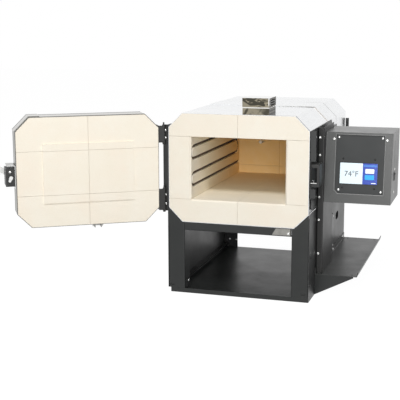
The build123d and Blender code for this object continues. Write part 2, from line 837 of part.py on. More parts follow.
def shelf():
    """Side shelf: upturned inner flange, flat, and an outer lip that leans outward."""
    x0 = PANEL_OUT + GAP + MID
    x1 = x0 + SHELF_W
    z = SHELF_UP + MID
    lean = radians(LIP_LEAN)
    path = [(x0, SHELF_TOP + FLANGE_UP), (x0, z), (x1, z), (x1 + LIP_H * sin(lean), z + LIP_H * cos(lean))]
    shape = swept(bent(path), "y", FRONT + SHELF_FRONT, FRONT + SHELF_BACK)
    for x in (x0 + SHELF_HOLE_IN, x1 - SHELF_HOLE_IN):
        for d in (SHELF_FRONT + SHELF_HOLE_IN, SHELF_BACK - SHELF_HOLE_IN):
            shape -= faceted("z", x, FRONT + d, SHELF_HOLE_R, SHELF_UP - 1, SHELF_TOP + 1)
    return drilled(shape, M5, shelf_spots())


def gusset(at):
    """Triangular bracket under one end of the shelf."""
    x0 = PANEL_OUT + GAP
    x1 = x0 + SHELF_W - 8
    z1 = SHELF_UP - GAP
    outline = [(x0, 0.0), (x1, z1 - 3), (x1, z1), (x0, z1)]
    plate = prism(outline, "y", at, at + SHEET)
    tab = block(x0, x1 - 4, at, at + GUSSET_TAB, z1 - SHEET, z1)
    return plate + tab


# Control box

def on_face(shape):
    """Moves a shape drawn on the upright XZ plane onto the tilted front of the control box."""
    return Pos(BOX_IN, FRONT + BOX_FRONT, BOX_LOW) * Rot(-BOX_TILT, 0, 0) * shape


def face_spot(x, z, deep=0.0):
    """A screw spot on the tilted front: across, up the slope and behind the front face."""
    tilt = radians(BOX_TILT)
    y = FRONT + BOX_FRONT + z * sin(tilt) + deep * cos(tilt)
    up = BOX_LOW + z * cos(tilt) - deep * sin(tilt)
    return ((BOX_IN + x, y, up), (0, -cos(tilt), sin(tilt)))


def bracket_screws():
    """Screws on the front face of the control bracket."""
    x = BRACKET_IN + 5
    return [((x, FRONT + BRACKET_FRONT, z), (0, -1, 0)) for z in BRACKET_SCREWS]


def bracket():
    """Tall channel that carries the control box off the right panel."""
    x0 = BRACKET_IN + MID
    x1 = BRACKET_OUT - MID
    y0 = FRONT + BRACKET_FRONT + MID
    y1 = y0 + BRACKET_DEEP
    z0 = SHELF_TOP + GAP
    shape = swept(bent([(x0, y1), (x0, y0), (x1, y0), (x1, y1)]), "z", z0, RIGHT_TOP)
    inner = x0 + MID + BEND + GAP
    return shape - block(x0 - 2, inner, y0 - 2, y1 + 1, z0 - 1, SHELF_TOP + FLANGE_UP + 2)


def inset(points, by):
    """A convex outline, listed anticlockwise, moved inward by the same amount on every side."""
    lines = []
    count = len(points)
    for i in range(count):
        a = points[i]
        way = unit(a, points[(i + 1) % count])
        lines.append(((a[0] - way[1] * by, a[1] + way[0] * by), way))
    result = []
    for i in range(count):
        (p, u), (q, v) = lines[i - 1], lines[i]
        cross = u[0] * v[1] - u[1] * v[0]
        k = ((q[0] - p[0]) * v[1] - (q[1] - p[1]) * v[0]) / cross
        result.append((p[0] + u[0] * k, p[1] + u[1] * k))
    return result


def box_outline():
    """Side view of the control box in Y and Z, anticlockwise."""
    lean = (BOX_TOP - BOX_LOW) * tan(radians(BOX_TILT))
    y0 = FRONT + BOX_FRONT
    y1 = FRONT + BOX_REAR
    return [(y0, BOX_LOW), (y1, BOX_LOW), (y1, BOX_TOP), (y0 + lean, BOX_TOP)]


def plate_outline(grow=0.0):
    """Outline of the faceplate on the tilted front, with one cut corner."""
    x0 = PLATE_LEFT - grow
    x1 = PLATE_LEFT + PLATE_W + grow
    z0 = PLATE_UP - grow
    z1 = PLATE_UP + PLATE_H + grow
    cut = PLATE_CUT + grow * (2 - sqrt(2))
    return [(x0 + cut, z0), (x1, z0), (x1, z1), (x0, z1), (x0, z0 + cut)]


def box_shell():
    """Control box: folded sides, tilted front with a sunk window, open at the back."""
    outline = box_outline()
    hollow = inset(outline, SHEET)
    far = FRONT + BOX_REAR + 5
    hollow[1] = (far, hollow[1][1])
    hollow[2] = (far, hollow[2][1])
    shape = prism(outline, "x", BOX_IN, BOX_OUT) - prism(hollow, "x", BOX_IN + SHEET, BOX_OUT - SHEET)
    lip = prism(plate_outline(SHEET), "y", 0, PLATE_DEEP)
    shape += on_face(lip)
    shape -= on_face(prism(plate_outline(), "y", -5, PLATE_DEEP + 5))
    d, z, long, wide = SIDE_SLOT
    slot = Pos(FRONT + d, z) * Rot(0, 0, 90 - BOX_TILT) * obround(0, 0, long, wide)
    shape -= swept(slot, "x", BOX_OUT - 4, BOX_OUT + 2)
    y = FRONT + SWITCH_BACK
    cut_w, cut_h = [half + GAP for half in barrel_half()]
    low = SWITCH_UP - cut_h
    return shape - block(BOX_OUT - 5, BOX_OUT + 2, y - cut_w, y + cut_w, low, SWITCH_UP + cut_h)


def box_spots():
    """Screws on the front frame of the control box."""
    z = PLATE_UP + PLATE_H - BOX_EDGE
    return [face_spot(x, z) for x in (PLATE_LEFT - BOX_EDGE / 2, BOX_W - PLATE_RIGHT + BOX_EDGE / 2)]


def side_spots():
    """Screws on the right side of the control box."""
    return [((BOX_OUT, FRONT + d, z), (1, 0, 0)) for d, z in SIDE_SCREWS]


def box_back():
    """Rear plate of the control box."""
    y1 = FRONT + BOX_REAR
    g = SHEET + GAP
    return block(BOX_IN + g, BOX_OUT - g, y1 - SHEET, y1, BOX_LOW + g, BOX_TOP - g)


def faceplate():
    """Faceplate sunk behind the window, with an opening for the screen."""
    plate = prism(plate_outline(SHEET - GAP), "y", PLATE_DEEP + GAP, PLATE_DEEP + GAP + PLATE_T)
    x0 = SCREEN_LEFT - 0.3
    z0 = SCREEN_UP - 0.3
    plate -= block(x0, x0 + SCREEN_W + 0.6, 0, PLATE_DEEP + 9, z0, z0 + SCREEN_H + 0.6)
    return on_face(plate)


def plate_spots():
    """Corner screws of the faceplate."""
    deep = PLATE_DEEP + GAP
    x0 = PLATE_LEFT + 6
    x1 = PLATE_LEFT + PLATE_W - 6
    z1 = PLATE_UP + PLATE_H - 6
    return [face_spot(x0, z1, deep), face_spot(x1, z1, deep), face_spot(x0 + 3, PLATE_UP + 9, deep),
            face_spot(x1, PLATE_UP + 7, deep)]


def panel_screw_spots():
    """Small screws round the screen."""
    deep = PLATE_DEEP + GAP
    x0 = SCREEN_LEFT + 8
    x1 = SCREEN_LEFT + SCREEN_W - 8
    z0 = SCREEN_UP - 9
    z1 = SCREEN_UP + SCREEN_H + 9
    return [face_spot(x, z, deep) for x in (x0, x1) for z in (z0, z1)]


def screen():
    """Touch screen module in the faceplate."""
    y0 = PLATE_DEEP - 0.6
    body = block(SCREEN_LEFT, SCREEN_LEFT + SCREEN_W, y0, y0 + SCREEN_T, SCREEN_UP, SCREEN_UP + SCREEN_H)
    return on_face(body)


def control_board():
    """Circuit board behind the screen."""
    y0 = PLATE_DEEP + SCREEN_T + 6
    x0 = SCREEN_LEFT - 6
    board = block(x0, x0 + SCREEN_W + 12, y0, y0 + 1.6, SCREEN_UP - 12, SCREEN_UP + SCREEN_H + 12)
    return on_face(board)


def relay():
    """Relay on the rear plate of the control box."""
    y1 = FRONT + BOX_REAR - SHEET - GAP
    x = BOX_IN + BOX_W * 0.35
    half = RELAY_W / 2
    low = BOX_LOW + RELAY_UP
    top = low + RELAY_H
    y0 = y1 - RELAY_DEEP
    body = block(x - half, x + half, y0, y1, low, top)
    for sx in (-half * 0.6, half * 0.6):
        for z in (low + 6, top - 6):
            body += faceted("y", x + sx, z, 4, y0 - 4, y0 + 1, 6)
    return body


def terminal_block():
    """Mains terminal block on the rear plate of the control box."""
    y1 = FRONT + BOX_REAR - SHEET - GAP
    x = BOX_IN + BOX_W * 0.7
    half = TERMINAL_W / 2
    y0 = y1 - TERMINAL_DEEP
    low = BOX_LOW + TERMINAL_UP
    body = block(x - half, x + half, y0, y1, low, low + TERMINAL_H)
    for i in range(4):
        at = x + half * (i - 1.5) / 2
        body -= faceted("y", at, low + TERMINAL_H / 2, 3, y0 - 1, y0 + 7, 6)
    return body


# Switch

def barrel_half(wall=SWITCH_WALL):
    """Half width and half height of the switch barrel, outside or inside its wall."""
    return (ROCKER_W / 2 + 0.35 + wall, ROCKER_H / 2 + 1.0 + wall)


def switch_body():
    """Bezel and barrel of the power switch."""
    y = FRONT + SWITCH_BACK
    x0 = BOX_OUT + 0.05
    shape = block(x0, x0 + SWITCH_RIM, y - SWITCH_W / 2, y + SWITCH_W / 2,
                  SWITCH_UP - SWITCH_H / 2, SWITCH_UP + SWITCH_H / 2)
    in_w, in_h = barrel_half(0)
    out_w, out_h = barrel_half()
    shape += block(x0 - SWITCH_DEEP, x0 + 0.1, y - out_w, y + out_w, SWITCH_UP - out_h, SWITCH_UP + out_h)
    shape -= block(x0 - SWITCH_DEEP + 1.5, x0 + 3, y - in_w, y + in_w, SWITCH_UP - in_h, SWITCH_UP + in_h)
    return shape - rod("y", x0 - 1.5, SWITCH_UP, 1.0 + RUN_FIT, y - out_w - 1, y + out_w + 1)


def rocker():
    """Rocker of the power switch, tipped with its lower half pressed."""
    y = FRONT + SWITCH_BACK
    x0 = BOX_OUT + 0.05
    half = ROCKER_H / 2
    rise = half * tan(radians(ROCKER_TIP))
    face = 2.6
    outline = [(face + rise, half), (face, 0), (face + rise, -half), (-4.0, -half + 2), (-4.0, half - 2)]
    body = prism(outline, "y", -ROCKER_W / 2, ROCKER_W / 2)
    reach = ROCKER_W / 2 + 0.35 + SWITCH_WALL - 0.2
    body += rod("y", 0, 0, 1.0, -reach, reach)
    return Pos(x0 - 1.5, y, SWITCH_UP) * Rot(0, ROCKER_TIP, 0) * body


# Door

def door_bricks(side):
    """Three door bricks of one side, the plug part standing proud towards the chamber."""
    y0 = DOOR_BRICK_BACK
    whole = prism(octagon(-DOOR_BAND - SLACK - BAND_IN), "y", y0, DOOR_FACE)
    plug_y = DOOR_FACE + PLUG_RISE
    z0 = HEARTH + PLUG_UP
    whole += block(-PLUG_W / 2, PLUG_W / 2, DOOR_FACE - 2, plug_y, z0, z0 + PLUG_H)
    solids = []
    for x0, x1, c0, c1 in slab_cells(0):
        if (x0 + x1) * side > 0:
            solids.append(opened(whole & block(x0, x1, y0 - 1, plug_y + 1, c0, c1)))
    return solids


def door_board():
    """Insulating board behind the door bricks."""
    y1 = DOOR_BRICK_BACK - GAP
    return opened(prism(octagon(-DOOR_BAND - SLACK - BAND_IN), "y", y1 - DOOR_BOARD + 2 * GAP, y1))


def door_plate():
    """Outer face plate of the door."""
    plate = prism(octagon(-DOOR_BAND - SLACK - BAND_IN), "y", DOOR_BACK, DOOR_BACK + DOOR_BAND)
    return opened(plate)


def door_band():
    """Steel band round the door, set a little back from its inner face."""
    y0 = DOOR_BACK
    y1 = DOOR_FACE - BAND_BACK
    grow = -BAND_IN
    band = prism(octagon(grow), "y", y0, y1) - prism(octagon(grow - DOOR_BAND), "y", y0 - 1, y1 + 1)
    leaf = leaf_spots(*HINGES[0]) + leaf_spots(*HINGES[1])
    return opened(drilled(band, M4_SHORT, leaf, 3.0))


def band_lap():
    """Overlapping end of the band on the upper free corner."""
    inner = octagon(GAP - BAND_IN)
    outer = octagon(GAP - BAND_IN + DOOR_BAND)
    x = BODY_W / 2 - CORNER - LAP_REACH
    outline = [(x, inner[3][1]), inner[3], inner[2], outer[2], outer[3], (x, outer[3][1])]
    return opened(prism(outline, "y", DOOR_BACK + LAP_SET, DOOR_FACE - BAND_BACK - LAP_SET))


def clamp_lugs():
    """Two lugs under the door band that the clamp screw pulls together."""
    z1 = BODY_UP + BAND_IN - GAP
    z0 = z1 - LUG_H
    y0 = DOOR_BACK + LUG_SET
    hole = CLAMP_R + TAIL_ROOM / 2
    lugs = []
    for x in LUG_X:
        lug = block(x, x + LUG_T, y0, y0 + LUG_W, z0, z1)
        lug -= faceted("x", y0 + LUG_W / 2, z0 + CLAMP_UP, hole, x - 1, x + LUG_T + 1)
        lugs.append(opened(lug))
    return lugs


def clamp_screw():
    """Screw that draws the door band tight."""
    z = BODY_UP + BAND_IN - GAP - LUG_H + CLAMP_UP
    y = DOOR_BACK + LUG_SET + LUG_W / 2
    nut = LUG_X[0] - GAP
    head = LUG_X[1] + LUG_T + GAP
    shape = faceted("x", y, z, CLAMP_R, nut - CLAMP_UP, head + 1)
    shape += faceted("x", y, z, CLAMP_R * 1.9, head, head + CLAMP_R * 1.7)
    shape += faceted("x", y, z, CLAMP_R * 2, nut - CLAMP_R * 1.6, nut, 6)
    return opened(shape)


# Hinges

def hinge_spots():
    """Screws through the frame halves of the hinges."""
    y = FRONT + FLANGE_BACK - SHEET - GAP
    x = -(PANEL_OUT + FLANGE_OUT / 2)
    return [((x, y, z0 + (z1 - z0) * share), (0, -1, 0)) for z0, z1 in HINGES for share in (0.3, 0.7)]


def hinge_frame(z0, z1):
    """Frame half of a hinge: a plate on the panel flange with an ear at each end."""
    y1 = FRONT + FLANGE_BACK - GAP
    y0 = y1 - SHEET
    x0 = AXIS_X - EAR_R
    x1 = -PANEL_OUT + 1
    shape = block(x0, x1, y0, y1, z0, z1)
    for low in (z0, z1 - EAR_T):
        ear = faceted("z", AXIS_X, AXIS_Y, EAR_R, low, low + EAR_T, 12)
        ear += block(x0, AXIS_X + EAR_R, AXIS_Y, y1, low, low + EAR_T)
        shape += ear - rod("z", AXIS_X, AXIS_Y, PIN_R + RUN_FIT, low - 1, low + EAR_T + 1)
    return drilled(shape, M4, hinge_spots())


def hinge_leaf(z0, z1):
    """Door half of a hinge: a plate on the door band with an ear inside each frame ear."""
    x1 = -(BODY_W / 2 - BAND_IN + GAP)
    x0 = x1 - SHEET
    y1 = FRONT - 0.8
    low = z0 + EAR_T + EAR_GAP
    high = z1 - EAR_T - EAR_GAP
    shape = block(x0, x1, y1 - LEAF_DEEP, y1, low, high)
    for start in (low, high - EAR_T):
        ear = faceted("z", AXIS_X, AXIS_Y, EAR_R, start, start + EAR_T, 12)
        ear += block(AXIS_X, x1, AXIS_Y - EAR_R, y1, start, start + EAR_T)
        shape += ear - rod("z", AXIS_X, AXIS_Y, PIN_R + RUN_FIT, start - 1, start + EAR_T + 1)
    return opened(drilled(shape, M4, leaf_spots(z0, z1)))


def leaf_spots(z0, z1):
    """Screws through the door half of a hinge, door closed."""
    x = -(BODY_W / 2 - BAND_IN + GAP) - SHEET
    return [((x, DOOR_FACE - 24, z0 + (z1 - z0) * share), (-1, 0, 0)) for share in (0.3, 0.7)]


def hinge_pins():
    """The two hinge pins, with a rounded tip above each hinge and a foot below."""
    pins = []
    for z0, z1 in HINGES:
        pin = rod("z", AXIS_X, AXIS_Y, PIN_R, z0 - 1.6, z1 + PIN_TIP)
        pin += faceted("z", AXIS_X, AXIS_Y, PIN_R + 1.2, z0 - 2.4, z0 - GAP)
        pins.append(pin)
    return pins


# Latch and catch

def latch_place():
    """X and Z of the latch spindle with the door closed."""
    return (BODY_W / 2 + LATCH_X + 0.7, BODY_UP + LATCH_UP)


def latch_mount():
    """Angle on the free edge of the door that the latch housing hangs on."""
    x0 = BODY_W / 2 - BAND_IN + GAP + MID
    x, z = latch_place()
    z1 = z + 26.5
    path = [(x0, z - 31), (x0, z1), (x0 + 20, z1)]
    y1 = DOOR_FACE - HOUSING_SET
    return opened(swept(bent(path), "y", y1 - HOUSING_DEEP, y1))


def latch_housing():
    """Housing of the latch, open towards the door, bored for the spindle."""
    x, z = latch_place()
    x0 = BODY_W / 2 - BAND_IN + GAP + SHEET + GAP
    x1 = x0 + HOUSING_W
    y1 = DOOR_FACE - HOUSING_SET + 2
    y0 = y1 - HOUSING_DEEP
    z0 = z - 24
    z1 = z0 + HOUSING_H
    shape = block(x0, x1, y0, y1, z0, z1)
    shape -= block(x0 - 1, x1 - SHEET, y0 + SHEET, y1 - SHEET, z0 + SHEET, z1 - SHEET)
    shape -= rod("y", x, z, SPINDLE_R + RUN_FIT, y0 - 1, y1 + 1)
    return opened(drilled(shape, M4, latch_spots()))


def latch_spots():
    """Screw on the inner face of the latch housing."""
    x, z = latch_place()
    return [((x + 1, DOOR_FACE - HOUSING_SET + 2, z + HOUSING_H * 0.27), (0, 1, 0))]


def spindle():
    """Latch spindle from the lever to the pawl."""
    x, z = latch_place()
    y0 = DOOR_FACE - HOUSING_SET + 2 - HOUSING_DEEP - 4 - LEVER_T + 3.1
    return opened(rod("y", x, z, SPINDLE_R, y0, FRONT + PAWL_AT + PAWL_T))


def capsule(hub, tip, hub_r, tip_r):
    """Flat face that joins two round ends, its outline in steps."""
    way = atan2(tip[1] - hub[1], tip[0] - hub[0]) * 180 / pi
    back = bow_points(*hub, hub_r, way + 90, 180, 8)
    return polygon(back + bow_points(*tip, tip_r, way - 90, 180, 8))


def pawl():
    """Pawl on the inner end of the spindle, shown unlatched."""
    x, z = latch_place()
    down = radians(-PAWL_DOWN)
    tip = (x + PAWL_REACH * cos(down), z + PAWL_REACH * sin(down))
    face = capsule((x, z), tip, PAWL_HUB, PAWL_TIP) - Pos(x, z) * Circle(SPINDLE_R + 0.02)
    y0 = FRONT + PAWL_AT
    return opened(swept(face, "y", y0, y0 + PAWL_T))


def lever():
    """Short lever on the outer end of the spindle."""
    x, z = latch_place()
    up = radians(LEVER_UP)
    tip = (x + LEVER_REACH * cos(up), z + LEVER_REACH * sin(up))
    y1 = DOOR_FACE - HOUSING_SET + 2 - HOUSING_DEEP - 4
    face = capsule((x, z), tip, LEVER_HUB, LEVER_TIP)
    shape = swept(face, "y", y1 - LEVER_T, y1)
    shape -= rod("y", x, z, SPINDLE_R + 0.02, y1 - LEVER_T + 3, y1 + 1)
    return opened(shape)


def catch_spots():
    """Screws through the catch bracket into the right panel."""
    x = PANEL_OUT + GAP + SHEET
    zs = (CATCH_LOW + 9, CATCH_TOP - 9)
    return [((x, FRONT + CATCH_SET + CATCH_DEEP - 9, z), (1, 0, 0)) for z in zs]


def catch():
    """Catch bracket on the right panel: a channel with a window for the pawl and a roof."""
    x0 = PANEL_OUT + GAP + MID
    x1 = PANEL_OUT + GAP + CATCH_W - MID
    y0 = FRONT + CATCH_SET + MID
    y1 = FRONT + CATCH_SET + CATCH_DEEP
    shape = swept(bent([(x0, y1), (x0, y0), (x1, y0), (x1, y1)]), "z", CATCH_LOW, CATCH_TOP)
    shape += block(x0 - MID, x1 + MID, y0 + MID, y1, CATCH_TOP - SHEET, CATCH_TOP)
    x, z = latch_place()
    right = x + 7.5
    left = x - PAWL_HUB - 1
    shape -= block(left, right, y0 - 2, y0 + 2, z - 12.5, z + 23)
    return drilled(shape, M4, catch_spots())


def catch_bar():
    """Bright bar below the window of the catch."""
    x, z = latch_place()
    x0 = PANEL_OUT + GAP + 0.5
    y = FRONT + CATCH_SET - BAR_R - GAP
    return rod("x", y, z - 14.5, BAR_R, x0, x0 + 15)


def build():
    """Every node with its solids."""
    nodes = {}
    nodes["stand_tray"] = [tray()]
    nodes["stand_left_panel"] = [left_panel()]
    nodes["stand_right_panel"] = [right_panel()]
    nodes["stand_left_post"] = [front_post(-1)]
    nodes["stand_right_post"] = [front_post(1)]
    nodes["stand_front_rail"] = [front_rail()]
    nodes["stand_rear_rail"] = [rear_rail()]
    nodes["rail_plate"] = [rail_plate()]
    nodes["access_cover"] = [access_cover()]
    nodes["side_shelf"] = [shelf()]
    nodes["shelf_gussets"] = [gusset(FRONT + SHELF_FRONT), gusset(FRONT + SHELF_BACK - GUSSET_TAB)]
    nodes["control_bracket"] = [bracket()]
    nodes["control_box"] = [box_shell()]
    nodes["control_box_back"] = [box_back()]
    nodes["control_faceplate"] = [faceplate()]
    nodes["touch_screen"] = [screen()]
    nodes["control_board"] = [control_board()]
    nodes["power_relay"] = [relay()]
    nodes["terminal_block"] = [terminal_block()]
    nodes["switch_body"] = [switch_body()]
    nodes["switch_rocker"] = [rocker()]
    nodes["case_front_wrap"] = [wrap(FRONT, FRONT + SKIN_SPLIT, 0)]
    nodes["case_rear_wrap"] = [wrap(FRONT + SKIN_SPLIT + JOINT, BACK, 0)]
    nodes["case_middle_band"] = [wrap(FRONT + BAND_FROM, FRONT + BAND_TO, SKIN)]
    nodes["case_back_cover"] = [back_cover()]
    nodes["case_back_board"] = [back_board()]
    nodes["roof_bricks"] = slab_bricks(-1, True) + slab_bricks(1, True)
    nodes["hearth_bricks"] = slab_bricks(-1, False) + slab_bricks(1, False)
    nodes["left_wall_bricks"] = wall_bricks(-1)
    nodes["right_wall_bricks"] = wall_bricks(1)
    nodes["back_wall_bricks"] = back_bricks()
    nodes["left_element"] = [element(-1)]
    nodes["right_element"] = [element(1)]
    nodes["element_bushings"] = bushings()
    nodes["element_connectors"] = connectors()
    nodes["thermocouple_tube"] = [probe()]
    nodes["thermocouple_head"] = [probe_head()]
    nodes["terminal_cover"] = [terminal_cover()]
    nodes["top_box_base"] = [top_box_base()]
    nodes["top_box_lid"] = [top_box_lid()]
    nodes["door_bricks"] = door_bricks(-1) + door_bricks(1)
    nodes["door_board"] = [door_board()]
    nodes["door_plate"] = [door_plate()]
    nodes["door_band"] = [door_band()] + clamp_lugs()
    nodes["door_band_lap"] = [band_lap()]
    nodes["door_clamp_screw"] = [clamp_screw()]
    nodes["hinge_frames"] = [hinge_frame(*h) for h in HINGES]
    nodes["hinge_leaves"] = [hinge_leaf(*h) for h in HINGES]
    nodes["hinge_pins"] = hinge_pins()
    nodes["latch_mount"] = [latch_mount()]
    nodes["latch_housing"] = [latch_housing()]
    nodes["latch_spindle"] = [spindle()]
    nodes["latch_pawl"] = [pawl()]
    nodes["latch_lever"] = [lever()]
    nodes["catch_bracket"] = [catch()]
    nodes["catch_bar"] = [catch_bar()]
    nodes["large_screws"] = screws(M5, panel_spots() + flange_spots(-1) + flange_spots(1) + shelf_spots())
    thick = rear_spots() + rail_spots() + hinge_spots() + catch_spots()
    thin = cover_spots() + back_spots() + bracket_screws() + box_spots() + side_spots() + plate_spots()
    nodes["medium_screws"] = screws(M4, thick) + screws(M4_FLAT, thin)
    nodes["small_screws"] = screws(M3_FLAT, access_spots() + panel_screw_spots())
    leaf = leaf_spots(*HINGES[0]) + leaf_spots(*HINGES[1])
    nodes["door_screws"] = [opened(solid) for solid in screws(M4_SHORT, leaf + latch_spots())]
    return nodes


def main():
    """Writes one STEP file per node."""
    os.makedirs("parts", exist_ok=True)
    for name, solids in build().items():
        shape = solids[0] if len(solids) == 1 else Compound(solids)
        export_step(shape, "parts/" + name + ".step")


main()
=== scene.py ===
"""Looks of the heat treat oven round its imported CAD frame: materials, wire, screws, display."""
import json
from math import cos, pi, radians, sin

import bmesh
import bpy
from mathutils import Matrix, Vector


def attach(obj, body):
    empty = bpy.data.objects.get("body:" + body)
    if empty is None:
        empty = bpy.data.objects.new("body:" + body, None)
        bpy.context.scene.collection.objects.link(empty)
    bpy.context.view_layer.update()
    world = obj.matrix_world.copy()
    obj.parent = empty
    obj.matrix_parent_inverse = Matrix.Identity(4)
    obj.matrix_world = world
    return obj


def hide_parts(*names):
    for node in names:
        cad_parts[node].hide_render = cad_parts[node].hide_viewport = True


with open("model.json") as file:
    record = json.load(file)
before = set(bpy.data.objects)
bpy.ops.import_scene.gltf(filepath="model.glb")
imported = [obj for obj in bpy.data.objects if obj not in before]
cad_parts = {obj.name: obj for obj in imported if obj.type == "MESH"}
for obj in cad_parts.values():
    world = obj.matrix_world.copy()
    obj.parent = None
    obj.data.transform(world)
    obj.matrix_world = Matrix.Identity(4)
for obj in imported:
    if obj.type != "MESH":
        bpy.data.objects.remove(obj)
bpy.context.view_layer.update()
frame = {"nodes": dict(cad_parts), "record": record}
MM = 0.001

# Places in the frame that the looks and the pieces follow, in metres
FRONT = -0.259525
REAR = 0.259525
PIN = Vector((-0.1905, -0.263025, 0))
OPENED = radians(-147)
BAND_FRONT, BAND_REAR = -0.025525, 0.096475
# Painted shade and dark reflections along the case's seams and behind its top front edge: from and
# to along Y, where they fade in along X, and their strength
SEAM_SHADES = (
    (BAND_FRONT - 0.0016, BAND_FRONT + 0.0012, 0.07, 0.125, 0.9),
    (BAND_REAR - 0.0032, BAND_REAR + 0.0006, 0.07, 0.125, 0.95),
    (-0.2590, -0.2520, -0.02, 0.05, 0.8),
)
# Painted shade on the closed door's sheet: dark outlines along its rims, from and to along Y, and
# their strength
DOOR_RIM_SHADES = ((-0.3212, -0.3110, 0.95), (-0.2670, -0.2610, 0.7))
# Soft changes along Y: the painted shade on the door's flanks, the painted light on the chamber's
# bricks past its mouth, the painted warm bounce light inside it, and its darker, warmer depth that
# is partly a baked stain and partly painted shade
DOOR_FLANK_SHADE = (-0.3216, -0.3212)
MOUTH_LIGHT = (-0.2594, -0.2565)
WARM_BOUNCE = (-0.25, -0.10)
BAKE_AND_SHADE = (-0.12, 0.14)
# Heights of the crease in the top box, and of the lip and the sill that take less shine
TOP_BOX_CREASE = 0.4775
TRAY_LIP = (0.002, 0.02)
LEFT_SILL = (0.011, 0.0132)


# Materials

class Surface:
    """A material's node tree with short names for the nodes used most."""

    def __init__(self, name, color, rough, metal=0.0):
        self.mat = bpy.data.materials.new(name)
        self.mat.use_nodes = True
        self.tree = self.mat.node_tree
        self.shader = self.tree.nodes["Principled BSDF"]
        self.shader.inputs["Base Color"].default_value = (*color, 1)
        self.shader.inputs["Roughness"].default_value = rough
        self.shader.inputs["Metallic"].default_value = metal
        self.mat.diffuse_color = (*color, 1)
        self.place = self.tree.nodes.new("ShaderNodeTexCoord").outputs["Object"]
        self.normal = None

    def link(self, source, target):
        self.tree.links.new(source, target)

    def stretched(self, scale):
        """The object's coordinates stretched by a scale on each axis."""
        node = self.tree.nodes.new("ShaderNodeMapping")
        node.inputs["Scale"].default_value = scale
        self.link(self.place, node.inputs["Vector"])
        return node.outputs["Vector"]

    def closed(self):
        """The object's coordinates turned back to where the door is closed."""
        turn = Matrix.Rotation(-OPENED, 3, "Z")
        node = self.tree.nodes.new("ShaderNodeMapping")
        node.inputs["Rotation"].default_value = (0, 0, -OPENED)
        node.inputs["Location"].default_value = PIN - turn @ PIN
        self.link(self.place, node.inputs["Vector"])
        return node.outputs["Vector"]

    def noise(self, scale, detail=2.0, rough=0.5, vector=None, bend=0.0):
        node = self.tree.nodes.new("ShaderNodeTexNoise")
        node.inputs["Scale"].default_value = scale
        node.inputs["Detail"].default_value = detail
        node.inputs["Roughness"].default_value = rough
        node.inputs["Distortion"].default_value = bend
        self.link(vector or self.place, node.inputs["Vector"])
        return node.outputs["Fac"]

    def cells(self, scale):
        node = self.tree.nodes.new("ShaderNodeTexVoronoi")
        node.inputs["Scale"].default_value = scale
        self.link(self.place, node.inputs["Vector"])
        return node.outputs["Distance"]

    def span(self, value, low, high, out_low=0.0, out_high=1.0):
        """A value's range stretched to another range, with its ends held."""
        node = self.tree.nodes.new("ShaderNodeMapRange")
        node.inputs["From Min"].default_value = low
        node.inputs["From Max"].default_value = high
        node.inputs["To Min"].default_value = out_low
        node.inputs["To Max"].default_value = out_high
        self.link(value, node.inputs["Value"])
        return node.outputs["Result"]

    def maths(self, operation, a, b):
        node = self.tree.nodes.new("ShaderNodeMath")
        node.operation = operation
        for value, socket in zip((a, b), node.inputs):
            if isinstance(value, (int, float)):
                socket.default_value = value
            else:
                self.link(value, socket)
        return node.outputs["Value"]

    def axis(self, which, vector=None):
        node = self.tree.nodes.new("ShaderNodeSeparateXYZ")
        self.link(vector or self.place, node.inputs["Vector"])
        return node.outputs[which]

    def facing(self, which):
        """How far the surface faces along an axis of the world, from 0 to 1 either way."""
        normal = self.tree.nodes.new("ShaderNodeNewGeometry").outputs["True Normal"]
        return self.maths("ABSOLUTE", self.axis(which, normal), 0.0)

    def stripe(self, value, low, high, soft=0.0004):
        """1 between two limits, falling off softly outside them."""
        rise = self.span(value, low - soft, low + soft)
        fall = self.span(value, high - soft, high + soft, 1.0, 0.0)
        return self.maths("MULTIPLY", rise, fall)

    def mix(self, factor, a, b, kind="MIX"):
        node = self.tree.nodes.new("ShaderNodeMix")
        node.data_type = "RGBA"
        node.blend_type = kind
        ins = [s for s in node.inputs if s.enabled]
        for value, socket in zip((factor, a, b), ins):
            if isinstance(value, (int, float)):
                socket.default_value = value
            elif isinstance(value, tuple):
                socket.default_value = (*value, 1)
            else:
                self.link(value, socket)
        return [s for s in node.outputs if s.enabled][0]

    def bump(self, height, strength, distance):
        node = self.tree.nodes.new("ShaderNodeBump")
        node.inputs["Strength"].default_value = strength
        node.inputs["Distance"].default_value = distance
        self.link(height, node.inputs["Height"])
        if self.normal:
            self.link(self.normal, node.inputs["Normal"])
        self.normal = node.outputs["Normal"]
        self.link(self.normal, self.shader.inputs["Normal"])

    def edges(self, reach):
        """1 at the part's sharp edges, within a reach in metres, and 0 away from them."""
        self.round_edge = self.tree.nodes.new("ShaderNodeBevel")
        self.round_edge.samples = 4
        self.round_edge.inputs["Radius"].default_value = reach
        flat = self.tree.nodes.new("ShaderNodeNewGeometry").outputs["Normal"]
        turn = self.tree.nodes.new("ShaderNodeVectorMath")
        turn.operation = "DOT_PRODUCT"
        self.link(self.round_edge.outputs["Normal"], turn.inputs[0])
        self.link(flat, turn.inputs[1])
        return self.span(turn.outputs["Value"], 0.80, 0.97, 1.0, 0.0)

    def color(self, source):
        self.link(source, self.shader.inputs["Base Color"])

    def rough(self, source):
        self.link(source, self.shader.inputs["Roughness"])


